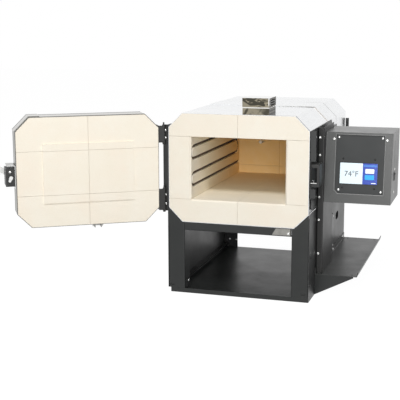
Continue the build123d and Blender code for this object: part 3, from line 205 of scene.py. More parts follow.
def brick(name, inside):
    """Light firebrick: soft mottling and small pores; inside the chamber, painted light past the
    mouth, painted warm bounce light, and a darkening towards the back that is partly a baked stain
    and partly painted shade, less on the floor and roof.
    """
    s = Surface(name, (0.92, 0.865, 0.745), 0.92)
    patches = s.span(s.noise(14, 5, 0.6), 0.3, 0.7)
    base = s.mix(patches, (0.935, 0.88, 0.765), (0.905, 0.835, 0.70))
    blush = s.span(s.noise(9, 4, 0.62, bend=0.5), 0.47, 0.72, 0.0, 0.75)
    base = s.mix(blush, base, (0.925, 0.822, 0.69))
    grain = s.span(s.noise(900, 3, 0.7), 0.35, 0.7)
    base = s.mix(s.maths("MULTIPLY", grain, 0.35), base, (0.955, 0.92, 0.83))
    wide = s.span(s.noise(35, 3, 0.55), 0.25, 0.75)
    shade = (0.97, 0.965, 0.96)
    if inside:
        # Painted warm bounce light: a straw tint deeper in the chamber
        warm_bounce = s.span(s.axis("Y"), *WARM_BOUNCE)
        base = s.mix(warm_bounce, base, (0.95, 0.87, 0.70))
        # Painted light: the chamber's inner faces lighter than its front face
        shade = s.mix(s.span(s.axis("Y"), *MOUTH_LIGHT), (0.94, 0.94, 0.94), (1.04, 1.04, 1.04))
    base = s.mix(1.0, base, shade, "MULTIPLY")
    if inside:
        # Darker and warmer towards the back, partly a baked stain and partly painted shade, less on
        # the floor and roof, which take more light
        depth = s.span(s.axis("Y"), *BAKE_AND_SHADE)
        depth = s.maths("MULTIPLY", depth, s.span(wide, 0.0, 1.0, 0.88, 1.0))
        depth = s.maths("MULTIPLY", depth, s.span(s.facing("Z"), 0.4, 0.6, 1.0, 0.75))
        base = s.mix(depth, base, (0.89, 0.60, 0.245))
    pores = s.span(s.cells(620), 0.10, 0.26, 1.0, 0.0)
    chance = s.span(s.noise(260, 2, 0.6), 0.50, 0.60)
    pores = s.maths("MULTIPLY", pores, chance)
    chips = s.span(s.cells(95), 0.03, 0.10, 1.0, 0.0)
    chips = s.maths("MULTIPLY", chips, s.span(s.noise(60, 2, 0.6), 0.55, 0.62))
    pits = s.maths("MAXIMUM", pores, chips)
    base = s.mix(s.maths("MULTIPLY", pits, 0.45), base, (0.60, 0.50, 0.36))
    s.color(base)
    s.bump(s.maths("ADD", s.maths("MULTIPLY", grain, 0.4), wide), 0.22, 0.0006)
    s.bump(pits, -0.6, 0.0007)
    return s.mat


def sheet_steel(name, color, rough, along, seam_shades=(), rim_shades=()):
    """Stainless or plain sheet: rolling lines, faint handling marks, painted shade and dark
    reflections along seams, and painted shade on the door's flanks and rims.
    """
    s = Surface(name, color, rough, 1.0)
    lines = s.noise(1.0, 4, 0.65, s.stretched(along))
    marks = s.noise(7, 4, 0.55, bend=0.6)
    dark = tuple(c * 0.86 for c in color)
    light = tuple(min(1.0, c * 1.05) for c in color)
    shade = s.mix(s.span(lines, 0.3, 0.7), dark, light)
    shade = s.mix(s.span(marks, 0.35, 0.75, 0.0, 0.35), shade, tuple(c * 0.9 for c in color))
    for low, high, from_x, to_x, share in seam_shades:
        # Painted shade and dark reflection along a seam of the case
        seam_shade = s.stripe(s.axis("Y"), low, high)
        seam_shade = s.maths("MULTIPLY", seam_shade, s.span(s.axis("X"), from_x, to_x, 0.0, share))
        shade = s.mix(seam_shade, shade, (0.055, 0.045, 0.035))
    if rim_shades:
        # Painted shade on the door sheet's flanks, which face away from the light
        depth = s.axis("Y", s.closed())
        flank = s.span(s.facing("Z"), 0.1, 0.75, 1.0, 0.0)
        flank = s.maths("MULTIPLY", flank, s.span(depth, *DOOR_FLANK_SHADE))
        shade = s.mix(flank, shade, (0.28, 0.275, 0.26))
    # Painted shade: dark outlines along the closed door's rims
    for low, high, share in rim_shades:
        rim_shade = s.stripe(depth, low, high)
        shade = s.mix(s.maths("MULTIPLY", rim_shade, share), shade, (0.04, 0.04, 0.035))
    s.color(shade)
    spread = s.span(lines, 0.25, 0.75, -0.07, 0.07)
    spread = s.maths("ADD", spread, s.span(marks, 0.3, 0.7, -0.05, 0.06))
    s.rough(s.maths("ADD", spread, rough))
    s.bump(lines, 0.03, 0.0002)
    s.bump(marks, 0.072, 0.0012)
    return s.mat


COAT_SHINE, DULL_SHINE = 0.42, 0.04


def coat(name, color, rough, rub_and_glint=0.35, rub_and_glint_color=(0.24, 0.24, 0.235), reach=0.0006, even=False,
         dull=None, sides=()):
    """Powder coat: fine orange peel, a little dust and lighter edges, partly rubbed wear and partly
    painted highlight.

    The rub strength is how strong the lighter edge colour is, within a reach of the edges, in
    patches unless even; that colour is partly rubbed wear and partly painted highlight.
    dull holds two heights with less shine between them, and the axis that the dull faces look
    along, or None for all faces.
    sides holds axes and colours: faces that look along an axis get that colour as painted light,
    where light catches them.
    """
    s = Surface(name, color, rough)
    shine = s.shader.inputs["Specular IOR Level"]
    shine.default_value = COAT_SHINE
    if dull:
        low, high, way = dull
        flat = s.stripe(s.axis("Z"), low, high)
        if way:
            flat = s.maths("MULTIPLY", flat, s.facing(way))
        s.link(s.span(flat, 0.0, 1.0, COAT_SHINE, DULL_SHINE), shine)
    peel = s.noise(1300, 2, 0.5)
    cloud = s.noise(11, 4, 0.6)
    light = tuple(min(1.0, c * 1.5 + 0.012) for c in color)
    shade = s.mix(s.span(cloud, 0.35, 0.75, 0.0, 0.25), color, light)
    # Painted light: faces that look along an axis take a lighter colour
    for way, tone in sides:
        shade = s.mix(s.span(s.facing(way), 0.6, 0.9), shade, tone)
    specks = s.span(s.cells(260), 0.02, 0.07, 1.0, 0.0)
    specks = s.maths("MULTIPLY", specks, s.span(s.noise(75, 2, 0.5), 0.60, 0.66))
    shade = s.mix(s.maths("MULTIPLY", specks, 0.35), shade, (0.35, 0.34, 0.32))
    # Lighter edges: partly rubbed wear and partly painted highlight
    worn_and_glint = s.edges(reach)
    if not even:
        worn_and_glint = s.maths("MULTIPLY", worn_and_glint, s.span(s.noise(90, 3, 0.6), 0.42, 0.62))
    shade = s.mix(s.maths("MULTIPLY", worn_and_glint, rub_and_glint), shade, rub_and_glint_color)
    s.color(shade)
    s.normal = s.round_edge.outputs["Normal"]
    s.rough(s.maths("ADD", s.span(cloud, 0.3, 0.7, -0.05, 0.06), rough))
    s.bump(peel, 0.16, 0.00025)
    return s.mat


def mirror(name, crease, right, near):
    """Mirror finish with a painted reflection of a dark room, a painted light band at the crease,
    painted highlights at the corners and a painted lighter top.
    """
    s = Surface(name, (0.80, 0.79, 0.77), 0.07, 1.0)
    dark, mid, light = (0.075, 0.07, 0.055), (0.34, 0.305, 0.225), (0.93, 0.92, 0.89)
    across, up = s.axis("X"), s.axis("Z")
    warp = s.noise(38, 2, 0.5, bend=0.8)
    fold = s.noise(1.0, 2, 0.5, s.stretched((34, 34, 120)), 1.6)
    front = s.mix(s.span(fold, 0.50, 0.56), dark, mid)
    lower = s.span(up, crease - 0.0009, crease - 0.0003, 1.0, 0.0)
    low_shade = s.mix(s.span(warp, 0.36, 0.52), (0.09, 0.083, 0.062), (0.25, 0.232, 0.175))
    front = s.mix(lower, front, low_shade)
    slant = s.maths("ADD", s.maths("MULTIPLY", s.maths("SUBTRACT", up, crease), 1.7), across)
    patch = s.span(slant, right - 0.042, right - 0.038, 1.0, 0.0)
    patch = s.maths("MULTIPLY", patch, s.span(warp, 0.40, 0.48))
    front = s.mix(patch, front, (0.31, 0.28, 0.21))
    waves = s.maths("ADD", up, s.maths("MULTIPLY", warp, 0.006))
    ripple = s.maths("SINE", s.maths("MULTIPLY", waves, 820.0), 0.0)
    # Painted reflections: rippled dark and light bands on the side faces
    flank = s.mix(s.span(ripple, -0.2, 0.35), (0.03, 0.028, 0.023), (0.20, 0.19, 0.155))
    front = s.mix(s.span(s.facing("X"), 0.4, 0.6), front, flank)
    band = s.stripe(up, crease - 0.0012, crease + 0.0012, 0.0005)
    turned = s.span(s.facing("X"), 0.4, 0.6)
    corner = s.stripe(across, right - 0.0030, right - 0.0002, 0.0006)
    corner = s.maths("MULTIPLY", corner, s.maths("SUBTRACT", 1.0, turned))
    flare = s.maths("MULTIPLY", s.stripe(s.axis("Y"), near - 0.001, near + 0.004, 0.0006), turned)
    corner = s.maths("MAXIMUM", corner, flare)
    bright = s.maths("MAXIMUM", band, s.maths("MULTIPLY", corner, s.span(warp, 0.44, 0.54)))
    front = s.mix(bright, front, light)
    # Painted light on the upward faces
    s.color(s.mix(s.span(s.facing("Z"), 0.4, 0.6), front, (0.78, 0.78, 0.77)))
    s.link(s.span(turned, 0.0, 1.0, 1.0, 0.0), s.shader.inputs["Metallic"])
    s.link(s.span(turned, 0.0, 1.0, 0.5, 0.06), s.shader.inputs["Specular IOR Level"])
    wipe = s.noise(1.0, 3, 0.6, s.stretched((30, 12, 260)))
    s.rough(s.span(wipe, 0.3, 0.8, 0.05, 0.16))
    s.bump(s.noise(24, 2, 0.5, bend=1.2), 0.3, 0.0016)
    return s.mat


def board(name, color):
    """Pressed fibre board with short crossed fibres."""
    s = Surface(name, color, 0.9)
    one = s.noise(1.0, 3, 0.6, s.stretched((700, 90, 700)))
    two = s.noise(1.0, 3, 0.6, s.stretched((90, 700, 260)))
    fibres = s.maths("MAXIMUM", one, two)
    s.color(s.mix(s.span(fibres, 0.4, 0.75), color, tuple(c * 0.72 for c in color)))
    s.bump(fibres, 0.4, 0.0005)
    return s.mat


def wire_metal(name):
    """Resistance wire with a dull dark oxide, browner where it has run hottest."""
    s = Surface(name, (0.075, 0.058, 0.044), 0.62, 0.55)
    scale = s.noise(420, 4, 0.65)
    run = s.noise(16, 2, 0.5)
    shade = s.mix(s.span(run, 0.35, 0.65), (0.055, 0.045, 0.038), (0.125, 0.085, 0.055))
    s.color(s.mix(s.span(scale, 0.5, 0.75, 0.0, 0.5), shade, (0.20, 0.165, 0.13)))
    s.rough(s.span(scale, 0.3, 0.7, 0.5, 0.75))
    s.bump(scale, 0.4, 0.0002)
    return s.mat


def ceramic(name, color):
    """Fired ceramic with fine grit and a few darker specks."""
    s = Surface(name, color, 0.6)
    grit = s.noise(800, 3, 0.6)
    specks = s.span(s.cells(400), 0.04, 0.12, 1.0, 0.0)
    specks = s.maths("MULTIPLY", specks, s.span(s.noise(120, 2, 0.5), 0.5, 0.6))
    shade = s.mix(s.span(grit, 0.3, 0.7), color, tuple(c * 0.9 for c in color))
    s.color(s.mix(s.maths("MULTIPLY", specks, 0.5), shade, tuple(c * 0.5 for c in color)))
    s.bump(grit, 0.2, 0.0003)
    return s.mat


def turned_metal(name, color, rough):
    """Turned, drawn or plated metal with fine tool lines and dull patches."""
    s = Surface(name, color, rough, 1.0)
    lines = s.noise(1.0, 3, 0.6, s.stretched((500, 500, 2600)))
    patches = s.noise(60, 4, 0.6)
    shade = s.mix(s.span(patches, 0.4, 0.7), color, tuple(c * 0.74 for c in color))
    s.color(shade)
    s.rough(s.maths("ADD", s.span(patches, 0.35, 0.7, -0.06, 0.12), rough))
    s.bump(lines, 0.12, 0.0002)
    return s.mat


def plastic(name, color, rough, texture=0.3):
    """Moulded plastic with a fine spark-eroded texture and faint flow marks."""
    s = Surface(name, color, rough)
    fine = s.noise(1700, 2, 0.5)
    flow = s.noise(40, 3, 0.5, bend=1.0)
    s.color(s.mix(s.span(flow, 0.35, 0.7), color, tuple(min(1, c * 1.25 + 0.004) for c in color)))
    s.rough(s.maths("ADD", s.span(fine, 0.3, 0.7, -0.06, 0.06), rough))
    s.bump(fine, texture, 0.0002)
    return s.mat


def lit(name, color, glow):
    """Lit display area: even colour with a faint pixel grid, under a smooth glass surface."""
    s = Surface(name, color, 0.16)
    s.shader.inputs["Specular IOR Level"].default_value = 0.4
    s.shader.inputs["Emission Strength"].default_value = glow
    variation = 0.04
    grid = s.tree.nodes.new("ShaderNodeTexWave")
    grid.bands_direction = "X"
    grid.inputs["Scale"].default_value = 700
    s.link(s.place, grid.inputs["Vector"])
    back = s.noise(25, 2, 0.5)
    factor = s.maths("MULTIPLY", grid.outputs["Fac"], variation)
    factor = s.maths("ADD", factor, s.span(back, 0, 1, 0, variation))
    tone = s.mix(factor, color, tuple(c * 0.6 for c in color))
    s.color(tone)
    s.link(tone, s.shader.inputs["Emission Color"])
    return s.mat


def circuit(name):
    """Green board with a maze of fine tracks."""
    s = Surface(name, (0.02, 0.12, 0.05), 0.45)
    tracks = s.tree.nodes.new("ShaderNodeTexBrick")
    tracks.inputs["Scale"].default_value = 90
    s.link(s.place, tracks.inputs["Vector"])
    s.color(s.mix(tracks.outputs["Fac"], (0.02, 0.12, 0.05), (0.10, 0.26, 0.10)))
    s.bump(tracks.outputs["Fac"], 0.3, 0.0002)
    return s.mat


TOP_BOX = frame["nodes"]["top_box_lid"].bound_box
TOP_BOX_RIGHT = max(corner[0] for corner in TOP_BOX)
TOP_BOX_NEAR = min(corner[1] for corner in TOP_BOX)
BLACK_TONE = (0.012, 0.0135, 0.013)
BLACK = coat("powder_black", BLACK_TONE, 0.35, rub_and_glint=0.18)
# Scales that stretch the rolling lines of sheet along one axis
ALONG_X, ALONG_Y, ALONG_Z = (14, 1500, 1500), (1500, 14, 1500), (1500, 1500, 14)
MATERIALS = {
    "powder_black": BLACK,
    "side_panel_coat": coat("side_panel_coat", (0.022, 0.023, 0.023), 0.38, rub_and_glint=0.8),
    "case_steel": sheet_steel("case_steel", (0.86, 0.87, 0.88), 0.24, ALONG_Y, seam_shades=SEAM_SHADES),
    "polished_steel": mirror("polished_steel", TOP_BOX_CREASE, TOP_BOX_RIGHT, TOP_BOX_NEAR),
    "chamber_brick": brick("chamber_brick", True),
    "door_brick": brick("door_brick", False),
    "fibre_board": board("fibre_board", (0.80, 0.77, 0.70)),
    "element_wire": wire_metal("element_wire"),
    "ceramic": ceramic("ceramic", (0.95, 0.92, 0.82)),
    "brass": turned_metal("brass", (0.72, 0.52, 0.25), 0.30),
    "connector": plastic("connector", (0.62, 0.45, 0.06), 0.45),
    "back_steel": sheet_steel("back_steel", (0.55, 0.56, 0.57), 0.38, ALONG_Z),
    # The control box's upward faces are painted lighter: a painted reflection of the light they
    # catch at a grazing angle
    "box_coat": coat("box_coat", (0.060, 0.062, 0.060), 0.33, rub_and_glint=0.8,
                     sides=(("Z", (0.16, 0.162, 0.16)),)),
    "face_coat": coat("face_coat", (0.010, 0.012, 0.012), 0.48),
    "screen_glass": plastic("screen_glass", (0.012, 0.013, 0.015), 0.12, 0.0),
    "board_green": circuit("board_green"),
    "black_plastic": plastic("black_plastic", (0.014, 0.014, 0.015), 0.34),
    "grey_plastic": plastic("grey_plastic", (0.42, 0.42, 0.41), 0.5),
    "door_steel": sheet_steel("door_steel", (0.64, 0.63, 0.61), 0.34, ALONG_X, rim_shades=DOOR_RIM_SHADES),
    "plain_steel": turned_metal("plain_steel", (0.56, 0.56, 0.55), 0.34),
    "latch_coat": coat("latch_coat", (0.012, 0.012, 0.0115), 0.42),
    "lever_plastic": plastic("lever_plastic", (0.05, 0.05, 0.052), 0.5),
    "screw_steel": turned_metal("screw_steel", (0.74, 0.74, 0.73), 0.26),
}


def dress(material, *names):
    """Gives parts of the frame a material."""
    for name in names:
        for place in frame["nodes"][name].material_slots:
            place.material = material


for part in frame["record"]["subparts"]:
    if part["material_slot"] in MATERIALS and part["node"] in frame["nodes"]:
        dress(MATERIALS[part["material_slot"]], part["node"])

# Light grey coat with light edges for the window's hem: a painted highlight along the window's
# edges
HEM_HIGHLIGHT = coat("hem_highlight_coat", (0.21, 0.212, 0.21), 0.30, rub_and_glint=0.8, rub_and_glint_color=(0.50, 0.50, 0.49), even=True)
# Painted highlight colour for the access cover's front- and top-facing faces
LID_SIDE_HIGHLIGHT = (0.36, 0.36, 0.35)
dress(MATERIALS["latch_coat"], "catch_bracket", "control_bracket")
dress(turned_metal("plate_steel", (0.27, 0.265, 0.245), 0.4), "rail_plate")
# The access cover's light edges and light front and top faces are painted highlights
dress(coat("lid_coat", (0.03, 0.031, 0.031), 0.34, rub_and_glint=0.8, rub_and_glint_color=(0.72, 0.72, 0.70),
           reach=0.002, even=True, sides=(("Y", LID_SIDE_HIGHLIGHT), ("Z", LID_SIDE_HIGHLIGHT))), "access_cover")
dress(coat("shelf_coat", (0.023, 0.0245, 0.0235), 0.36, rub_and_glint=0.6), "side_shelf")
dress(coat("tray_coat", BLACK_TONE, 0.35, rub_and_glint=0.0, dull=(*TRAY_LIP, "X")), "stand_tray")
dress(coat("left_panel_coat", (0.015, 0.016, 0.016), 0.36, rub_and_glint=0.0, dull=(*LEFT_SILL, None)),
      "stand_left_panel")


# Edges of the frame's own parts

WELD = 0.00001


def soften(names, width):
    """Welds a part's facets and rounds its edges a little."""
    for name in names:
        obj = frame["nodes"][name]
        join = obj.modifiers.new("join", "WELD")
        join.merge_threshold = WELD
        edge = obj.modifiers.new("edge", "BEVEL")
        edge.width = width
        edge.segments = 2
        edge.limit_method = "ANGLE"
        edge.angle_limit = radians(30)


soften(("roof_bricks", "hearth_bricks", "left_wall_bricks", "right_wall_bricks", "back_wall_bricks",
        "door_bricks"), 0.0002)


# Mesh helpers

def mesh_piece(name, bm, material, body="oven", smooth=True):
    """An object of a mesh, with one material, that rides on a body."""
    mesh = bpy.data.meshes.new(name)
    bmesh.ops.recalc_face_normals(bm, faces=bm.faces)
    bm.to_mesh(mesh)
    bm.free()
    for face in mesh.polygons:
        face.use_smooth = smooth
    obj = bpy.data.objects.new(name, mesh)
    bpy.context.scene.collection.objects.link(obj)
    obj.data.materials.append(material)
    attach(obj, body)
    return obj


def skin(bm, a, b):
    """Faces between two rings that have the same number of points."""
    count = len(a)
    for k in range(count):
        bm.faces.new((a[k], a[(k + 1) % count], b[(k + 1) % count], b[k]))


def tube(bm, points, radius, sides):
    """A round tube along a line of points, closed at both ends."""
    points = [Vector(p) for p in points]
    rings = []
    side = None
    for i, point in enumerate(points):
        ahead = points[min(i + 1, len(points) - 1)] - points[max(i - 1, 0)]
        ahead.normalize()
        if side is None:
            side = ahead.orthogonal().normalized()
        side = (side - ahead * side.dot(ahead)).normalized()
        up = ahead.cross(side)
        ring = []
        for k in range(sides):
            angle = 2 * pi * k / sides
            ring.append(bm.verts.new(point + (side * cos(angle) + up * sin(angle)) * radius))
        rings.append(ring)
    for a, b in zip(rings, rings[1:]):
        skin(bm, a, b)
    bm.faces.new(rings[0])
    bm.faces.new(rings[-1][::-1])


# Wound heating wire

RUNS = (0.37523, 0.344115, 0.307126, 0.27617)
COIL_X = 0.12595
COIL_R = 0.0023
WIRE_R = 0.00092
WIRE_SIDES = 5
PITCH = 0.0044
TURN_STEPS = 9
RUN_FRONT = FRONT + 0.024
RUN_REAR = FRONT + 0.421
COIL_END = FRONT + 0.4492
TAIL_END = REAR + 0.018
# Links between the runs: points in all, points to a turn, the turns' share of the coil's radius,
# and how far the front and rear links stand off the wall
LINK_STEPS, LINK_TURN = 84, 8
LINK_SHARE = 0.8
LIFT_FRONT, LIFT_REAR = 0.0019, 0.0037


def coil_run(x, z, y0, y1):
    """Turns of one run, opening from the centre line and closing back on it."""
    turns = max(2, round(abs(y1 - y0) / PITCH))
    steps = turns * TURN_STEPS
    points = []
    for i in range(steps + 1):
        share = i / steps
        turn = share * turns
        reach = COIL_R * min(1.0, turn, turns - turn)
        angle = 2 * pi * turn
        points.append((x + reach * cos(angle), y0 + (y1 - y0) * share, z + reach * sin(angle)))
    return points


def coil_link(x, upper, lower, y, way):
    """Stretched turns bent from the end of one run to the next, way along Y."""
    middle = (upper + lower) / 2
    bow = (upper - lower) / 2
    points = []
    lift = (LIFT_FRONT if way < 0 else LIFT_REAR) * (1 if x < 0 else -1)
    for i in range(1, LINK_STEPS):
        angle = pi / 2 - pi * i / LINK_STEPS
        turn = 2 * pi * i / LINK_TURN
        ease = min(1.0, i / LINK_TURN, (LINK_STEPS - i) / LINK_TURN)
        reach = COIL_R * LINK_SHARE * ease
        out = bow + reach * cos(turn)
        points.append((x + lift * ease + reach * sin(turn), y + way * out * cos(angle),
                       middle + out * sin(angle)))
    return points


for side, name in ((-1, "left_element"), (1, "right_element")):
    x = side * COIL_X
    line = [(x, TAIL_END, RUNS[0])]
    line += coil_run(x, RUNS[0], COIL_END, RUN_FRONT)
    line += coil_link(x, RUNS[0], RUNS[1], RUN_FRONT, -1)
    line += coil_run(x, RUNS[1], RUN_FRONT, RUN_REAR)
    line += coil_link(x, RUNS[1], RUNS[2], RUN_REAR, 1)
    line += coil_run(x, RUNS[2], RUN_REAR, RUN_FRONT)
    line += coil_link(x, RUNS[2], RUNS[3], RUN_FRONT, -1)
    line += coil_run(x, RUNS[3], RUN_FRONT, COIL_END)
    line.append((x, TAIL_END, RUNS[3]))
    bm = bmesh.new()
    tube(bm, line, WIRE_R, WIRE_SIDES)
    wound = mesh_piece(name.replace("element", "wound_wire"), bm, MATERIALS["element_wire"])
    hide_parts(name)


# Small folded pieces

# Turn from the closed door to the open one about the pins
OPEN = Matrix.Translation(PIN) @ Matrix.Rotation(OPENED, 4, "Z") @ Matrix.Translation(-PIN)
# The barrels rolled round the pins: their heights, where the sheet leaves the leaf, and the roll
BARRELS = ((0.3875, 0.4255), (0.2155, 0.2655))
BARREL_START = (-0.1789, -0.26105)
BARREL_R = 0.0029
BARREL_SHEET = 0.0013
BARREL_STEPS, BARREL_FIRST, BARREL_TURN = 12, 75, 26
# The left rear flange's foot: its path on plan, its sheet and its heights
FOOT = ((-0.1735, 0.2553), (-0.1722, 0.2578), (-0.1700, 0.25865), (-0.1410, 0.25865))
FOOT_SHEET, FOOT_LOW, FOOT_HIGH = 0.0014, 0.0013, 0.0128
# Backs of the slots in the front posts: their middle, path on plan, sheet and heights
SLOT_X = 0.1706
SLOT_BACK = ((-0.0075, -0.2562), (-0.0065, -0.2572), (0.0065, -0.2572), (0.0075, -0.2562))
SLOT_SHEET, SLOT_LOW, SLOT_HIGH = 0.0007, 0.0146, 0.0244
# The right panel's lowered stretch: from and to along Y, its top, and the depth of its two steps
STEP_FROM, STEP_TO, STEP_TOP = 0.0985, 0.2540, 0.379
STEP = 0.0003


def strip(bm, path, thick, low, high, move=None):
    """A sheet strip that follows a path on plan, from one height to another, moved if need be."""
    path = [Vector((x, y)) for x, y in path]
    left, right = [], []
    for i, point in enumerate(path):
        ahead = (path[min(i + 1, len(path) - 1)] - path[max(i - 1, 0)]).normalized()
        side = Vector((-ahead.y, ahead.x)) * thick / 2
        left.append(point + side)
        right.append(point - side)
    rings = []
    for z in (low, high):
        ring = [Vector((p.x, p.y, z)) for p in left + right[::-1]]
        rings.append([bm.verts.new(move @ p if move else p) for p in ring])
    skin(bm, *rings)
    count = len(rings[0])
    last = len(path) - 1
    for ring in rings:
        for k in range(last):
            bm.faces.new((ring[k], ring[k + 1], ring[count - 2 - k], ring[count - 1 - k]))


bm = bmesh.new()
for low, high in BARRELS:
    path = [BARREL_START]
    for i in range(BARREL_STEPS):
        angle = radians(BARREL_FIRST + BARREL_TURN * i)
        path.append((PIN.x + BARREL_R * cos(angle), PIN.y + BARREL_R * sin(angle)))
    strip(bm, path, BARREL_SHEET, low, high, OPEN)
mesh_piece("hinge_barrels", bm, MATERIALS["latch_coat"], "door", False)

bm = bmesh.new()
strip(bm, FOOT, FOOT_SHEET, FOOT_LOW, FOOT_HIGH)
mesh_piece("rear_flange_foot", bm, BLACK, "oven", False)

bm = bmesh.new()
for side in (-1, 1):
    path = [(side * SLOT_X + across, depth) for across, depth in SLOT_BACK]
    strip(bm, path, SLOT_SHEET, SLOT_LOW, SLOT_HIGH)
mesh_piece("post_slot_backs", bm, BLACK, "oven", False)


def lowered_panel():
    """The right panel with the top of its web stepped down behind the case's middle band."""
    bm = bmesh.new()
    bm.from_mesh(frame["nodes"]["stand_right_panel"].data)
    bmesh.ops.remove_doubles(bm, verts=bm.verts, dist=WELD)
    for y in (STEP_FROM - STEP, STEP_FROM, STEP_TO, STEP_TO + STEP):
        everything = bm.verts[:] + bm.edges[:] + bm.faces[:]
        bmesh.ops.bisect_plane(bm, geom=everything, plane_co=(0, y, 0), plane_no=(0, 1, 0))
    for vert in bm.verts:
        inside = STEP_FROM - STEP / 3 < vert.co.y < STEP_TO + STEP / 3
        if inside and vert.co.z > STEP_TOP:
            vert.co.z = STEP_TOP
    bmesh.ops.dissolve_degenerate(bm, edges=bm.edges, dist=WELD / 2)
    panel = mesh_piece("right_panel_stepped", bm, MATERIALS["side_panel_coat"], "oven", False)
    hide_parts("stand_right_panel")


lowered_panel()


# Screws

HEAD_SIDES = 24
# A head's outline from its seat to its top, as shares of its radius and height
HEAD_SHAPE = ((1.0, 0.0), (1.0, 0.28), (0.97, 0.45), (0.86, 0.74), (0.70, 0.92), (0.56, 1.0))
# A recess's size as shares of the head's radius, and its floor as shares of height and size
HEX_HALF = 0.42
PLUS_REACH, PLUS_HALF = 0.5, 0.13
RECESS_FLOOR, RECESS_SHARE = 0.30, 0.8


def plus_radius(angle, reach, half):
    """Edge of a cross recess at an angle."""
    angle = (angle + pi / 4) % (pi / 2) - pi / 4
    if abs(angle) < 1e-6:
        return reach
    return min(reach / cos(angle), half / abs(sin(angle)))


def hex_radius(angle, half):
    """Edge of a hexagonal recess at an angle."""
    angle = (angle + pi / 6) % (pi / 3) - pi / 6
    return half / cos(angle)


def screw_head(bm, at, way, radius, height, drive, slot):
    """A domed head with a rolled rim and a cross or hexagonal recess, on its seat."""
    before = len(bm.faces)
    turn = Vector((0, 0, 1)).rotation_difference(Vector(way)).to_matrix().to_4x4()
    spin = Matrix.Rotation((at[0] * 7.3 + at[1] * 3.1 + at[2] * 5.7) % pi, 4, "Z")
    spot = Matrix.Translation(Vector(at) * MM) @ turn @ spin
    angles = [2 * pi * k / HEAD_SIDES for k in range(HEAD_SIDES)]
    rings = []
    for out, up in HEAD_SHAPE:
        rings.append([(radius * out * cos(a), radius * out * sin(a), height * up) for a in angles])
    for up, shrink in ((1.0, 1.0), (RECESS_FLOOR, RECESS_SHARE)):
        ring = []
        for angle in angles:
            if drive == "hex":
                reach = hex_radius(angle, radius * HEX_HALF)
            else:
                reach = plus_radius(angle, radius * PLUS_REACH, radius * PLUS_HALF)
            ring.append((reach * shrink * cos(angle), reach * shrink * sin(angle), height * up))
        rings.append(ring)
    verts = [[bm.verts.new(spot @ (Vector(p) * MM)) for p in ring] for ring in rings]
    for a, b in zip(verts, verts[1:]):
        skin(bm, a, b)
    bm.faces.new(verts[-1])
    bm.faces.new(verts[0][::-1])
    bm.faces.ensure_lookup_table()
    for face in bm.faces[before:]:
        face.material_index = slot


# Where heads sit, in millimetres, and the ways they face, at rest
POST_Y = -241.5
LARGE = (
    ((-182.1, POST_Y, 40.0), (-1, 0, 0)),
    ((-182.1, POST_Y, 110.0), (-1, 0, 0)),
    ((182.1, POST_Y, 40.0), (1, 0, 0)),
    ((182.1, POST_Y, 110.0), (1, 0, 0)),
    ((-137.9, -228.5, 24.5), (1, 0, 0)),
    ((137.9, -228.5, 24.5), (-1, 0, 0)),
    ((183.7, -149.7, 61.0), (1, 0, 0)),
    ((183.7, -25.3, 61.0), (1, 0, 0)),
    ((183.7, 65.8, 61.0), (1, 0, 0)),
    ((183.7, 228.7, 61.0), (1, 0, 0)),
)
LEAN = (0, -0.99337, 0.11494)
MEDIUM = (
    ((-165.6, 258.0, 24.5), (0, -1, 0)),
    ((-143.6, 258.0, 24.5), (0, -1, 0)),
    ((130.0, -261.0, 172.0), (0, -1, 0)),
    ((-188.1, -258.6, 397.1), (0, -1, 0)),
    ((-188.1, -258.6, 415.9), (0, -1, 0)),
    ((-188.1, -258.6, 228.7), (0, -1, 0)),
    ((-188.1, -258.6, 252.3), (0, -1, 0)),
    ((183.7, -228.5, 299.0), (1, 0, 0)),
    ((183.7, -228.5, 336.0), (1, 0, 0)),
    ((-145.4, 260.7, 273.2), (0, 1, 0)),
    ((-145.4, 260.7, 378.2), (0, 1, 0)),
    ((145.4, 260.7, 273.2), (0, 1, 0)),
    ((145.4, 260.7, 378.2), (0, 1, 0)),
    ((-134.8, 259.5, 198.0), (0, 1, 0)),
    ((-134.8, 259.5, 447.1), (0, 1, 0)),
    ((134.8, 259.5, 198.0), (0, 1, 0)),
    ((134.8, 259.5, 447.1), (0, 1, 0)),
    ((187.2, -169.5, 105.0), (0, -1, 0)),
    ((187.2, -169.5, 192.0), (0, -1, 0)),
    ((187.2, -169.5, 250.0), (0, -1, 0)),
    ((187.2, -169.5, 356.0), (0, -1, 0)),
    ((187.2, -169.5, 400.0), (0, -1, 0)),
    ((218.3, -147.3, 395.1), LEAN),
    ((349.3, -147.3, 395.1), LEAN),
    ((363.3, -104.5, 319.0), (1, 0, 0)),
    ((363.3, -111.5, 262.0), (1, 0, 0)),
    ((229.8, -142.6, 399.6), LEAN),
    ((337.8, -142.6, 399.6), LEAN),
    ((232.8, -157.7, 269.5), LEAN),
    ((337.8, -157.9, 267.5), LEAN),
)
SMALL = (
    ((186.2, -26.5, 77.0), (1, 0, 0)),
    ((186.2, -26.5, 158.0), (1, 0, 0)),
    ((186.2, 48.5, 77.0), (1, 0, 0)),
    ((186.2, 48.5, 158.0), (1, 0, 0)),
    ((242.3, -157.0, 275.3), LEAN),
    ((242.3, -148.8, 346.8), LEAN),
    ((321.3, -157.0, 275.3), LEAN),
    ((321.3, -148.8, 346.8), LEAN),
)
HINGE_SIDE = (0.83867, 0.54464, 0)
DOOR = (
    ((-211.5, -251.6, 397.1), HINGE_SIDE),
    ((-211.5, -251.6, 415.9), HINGE_SIDE),
    ((-211.5, -251.6, 228.7), HINGE_SIDE),
    ((-211.5, -251.6, 252.3), HINGE_SIDE),
    ((-514.3, -464.9, 325.9), (0.54464, -0.83867, 0)),
)

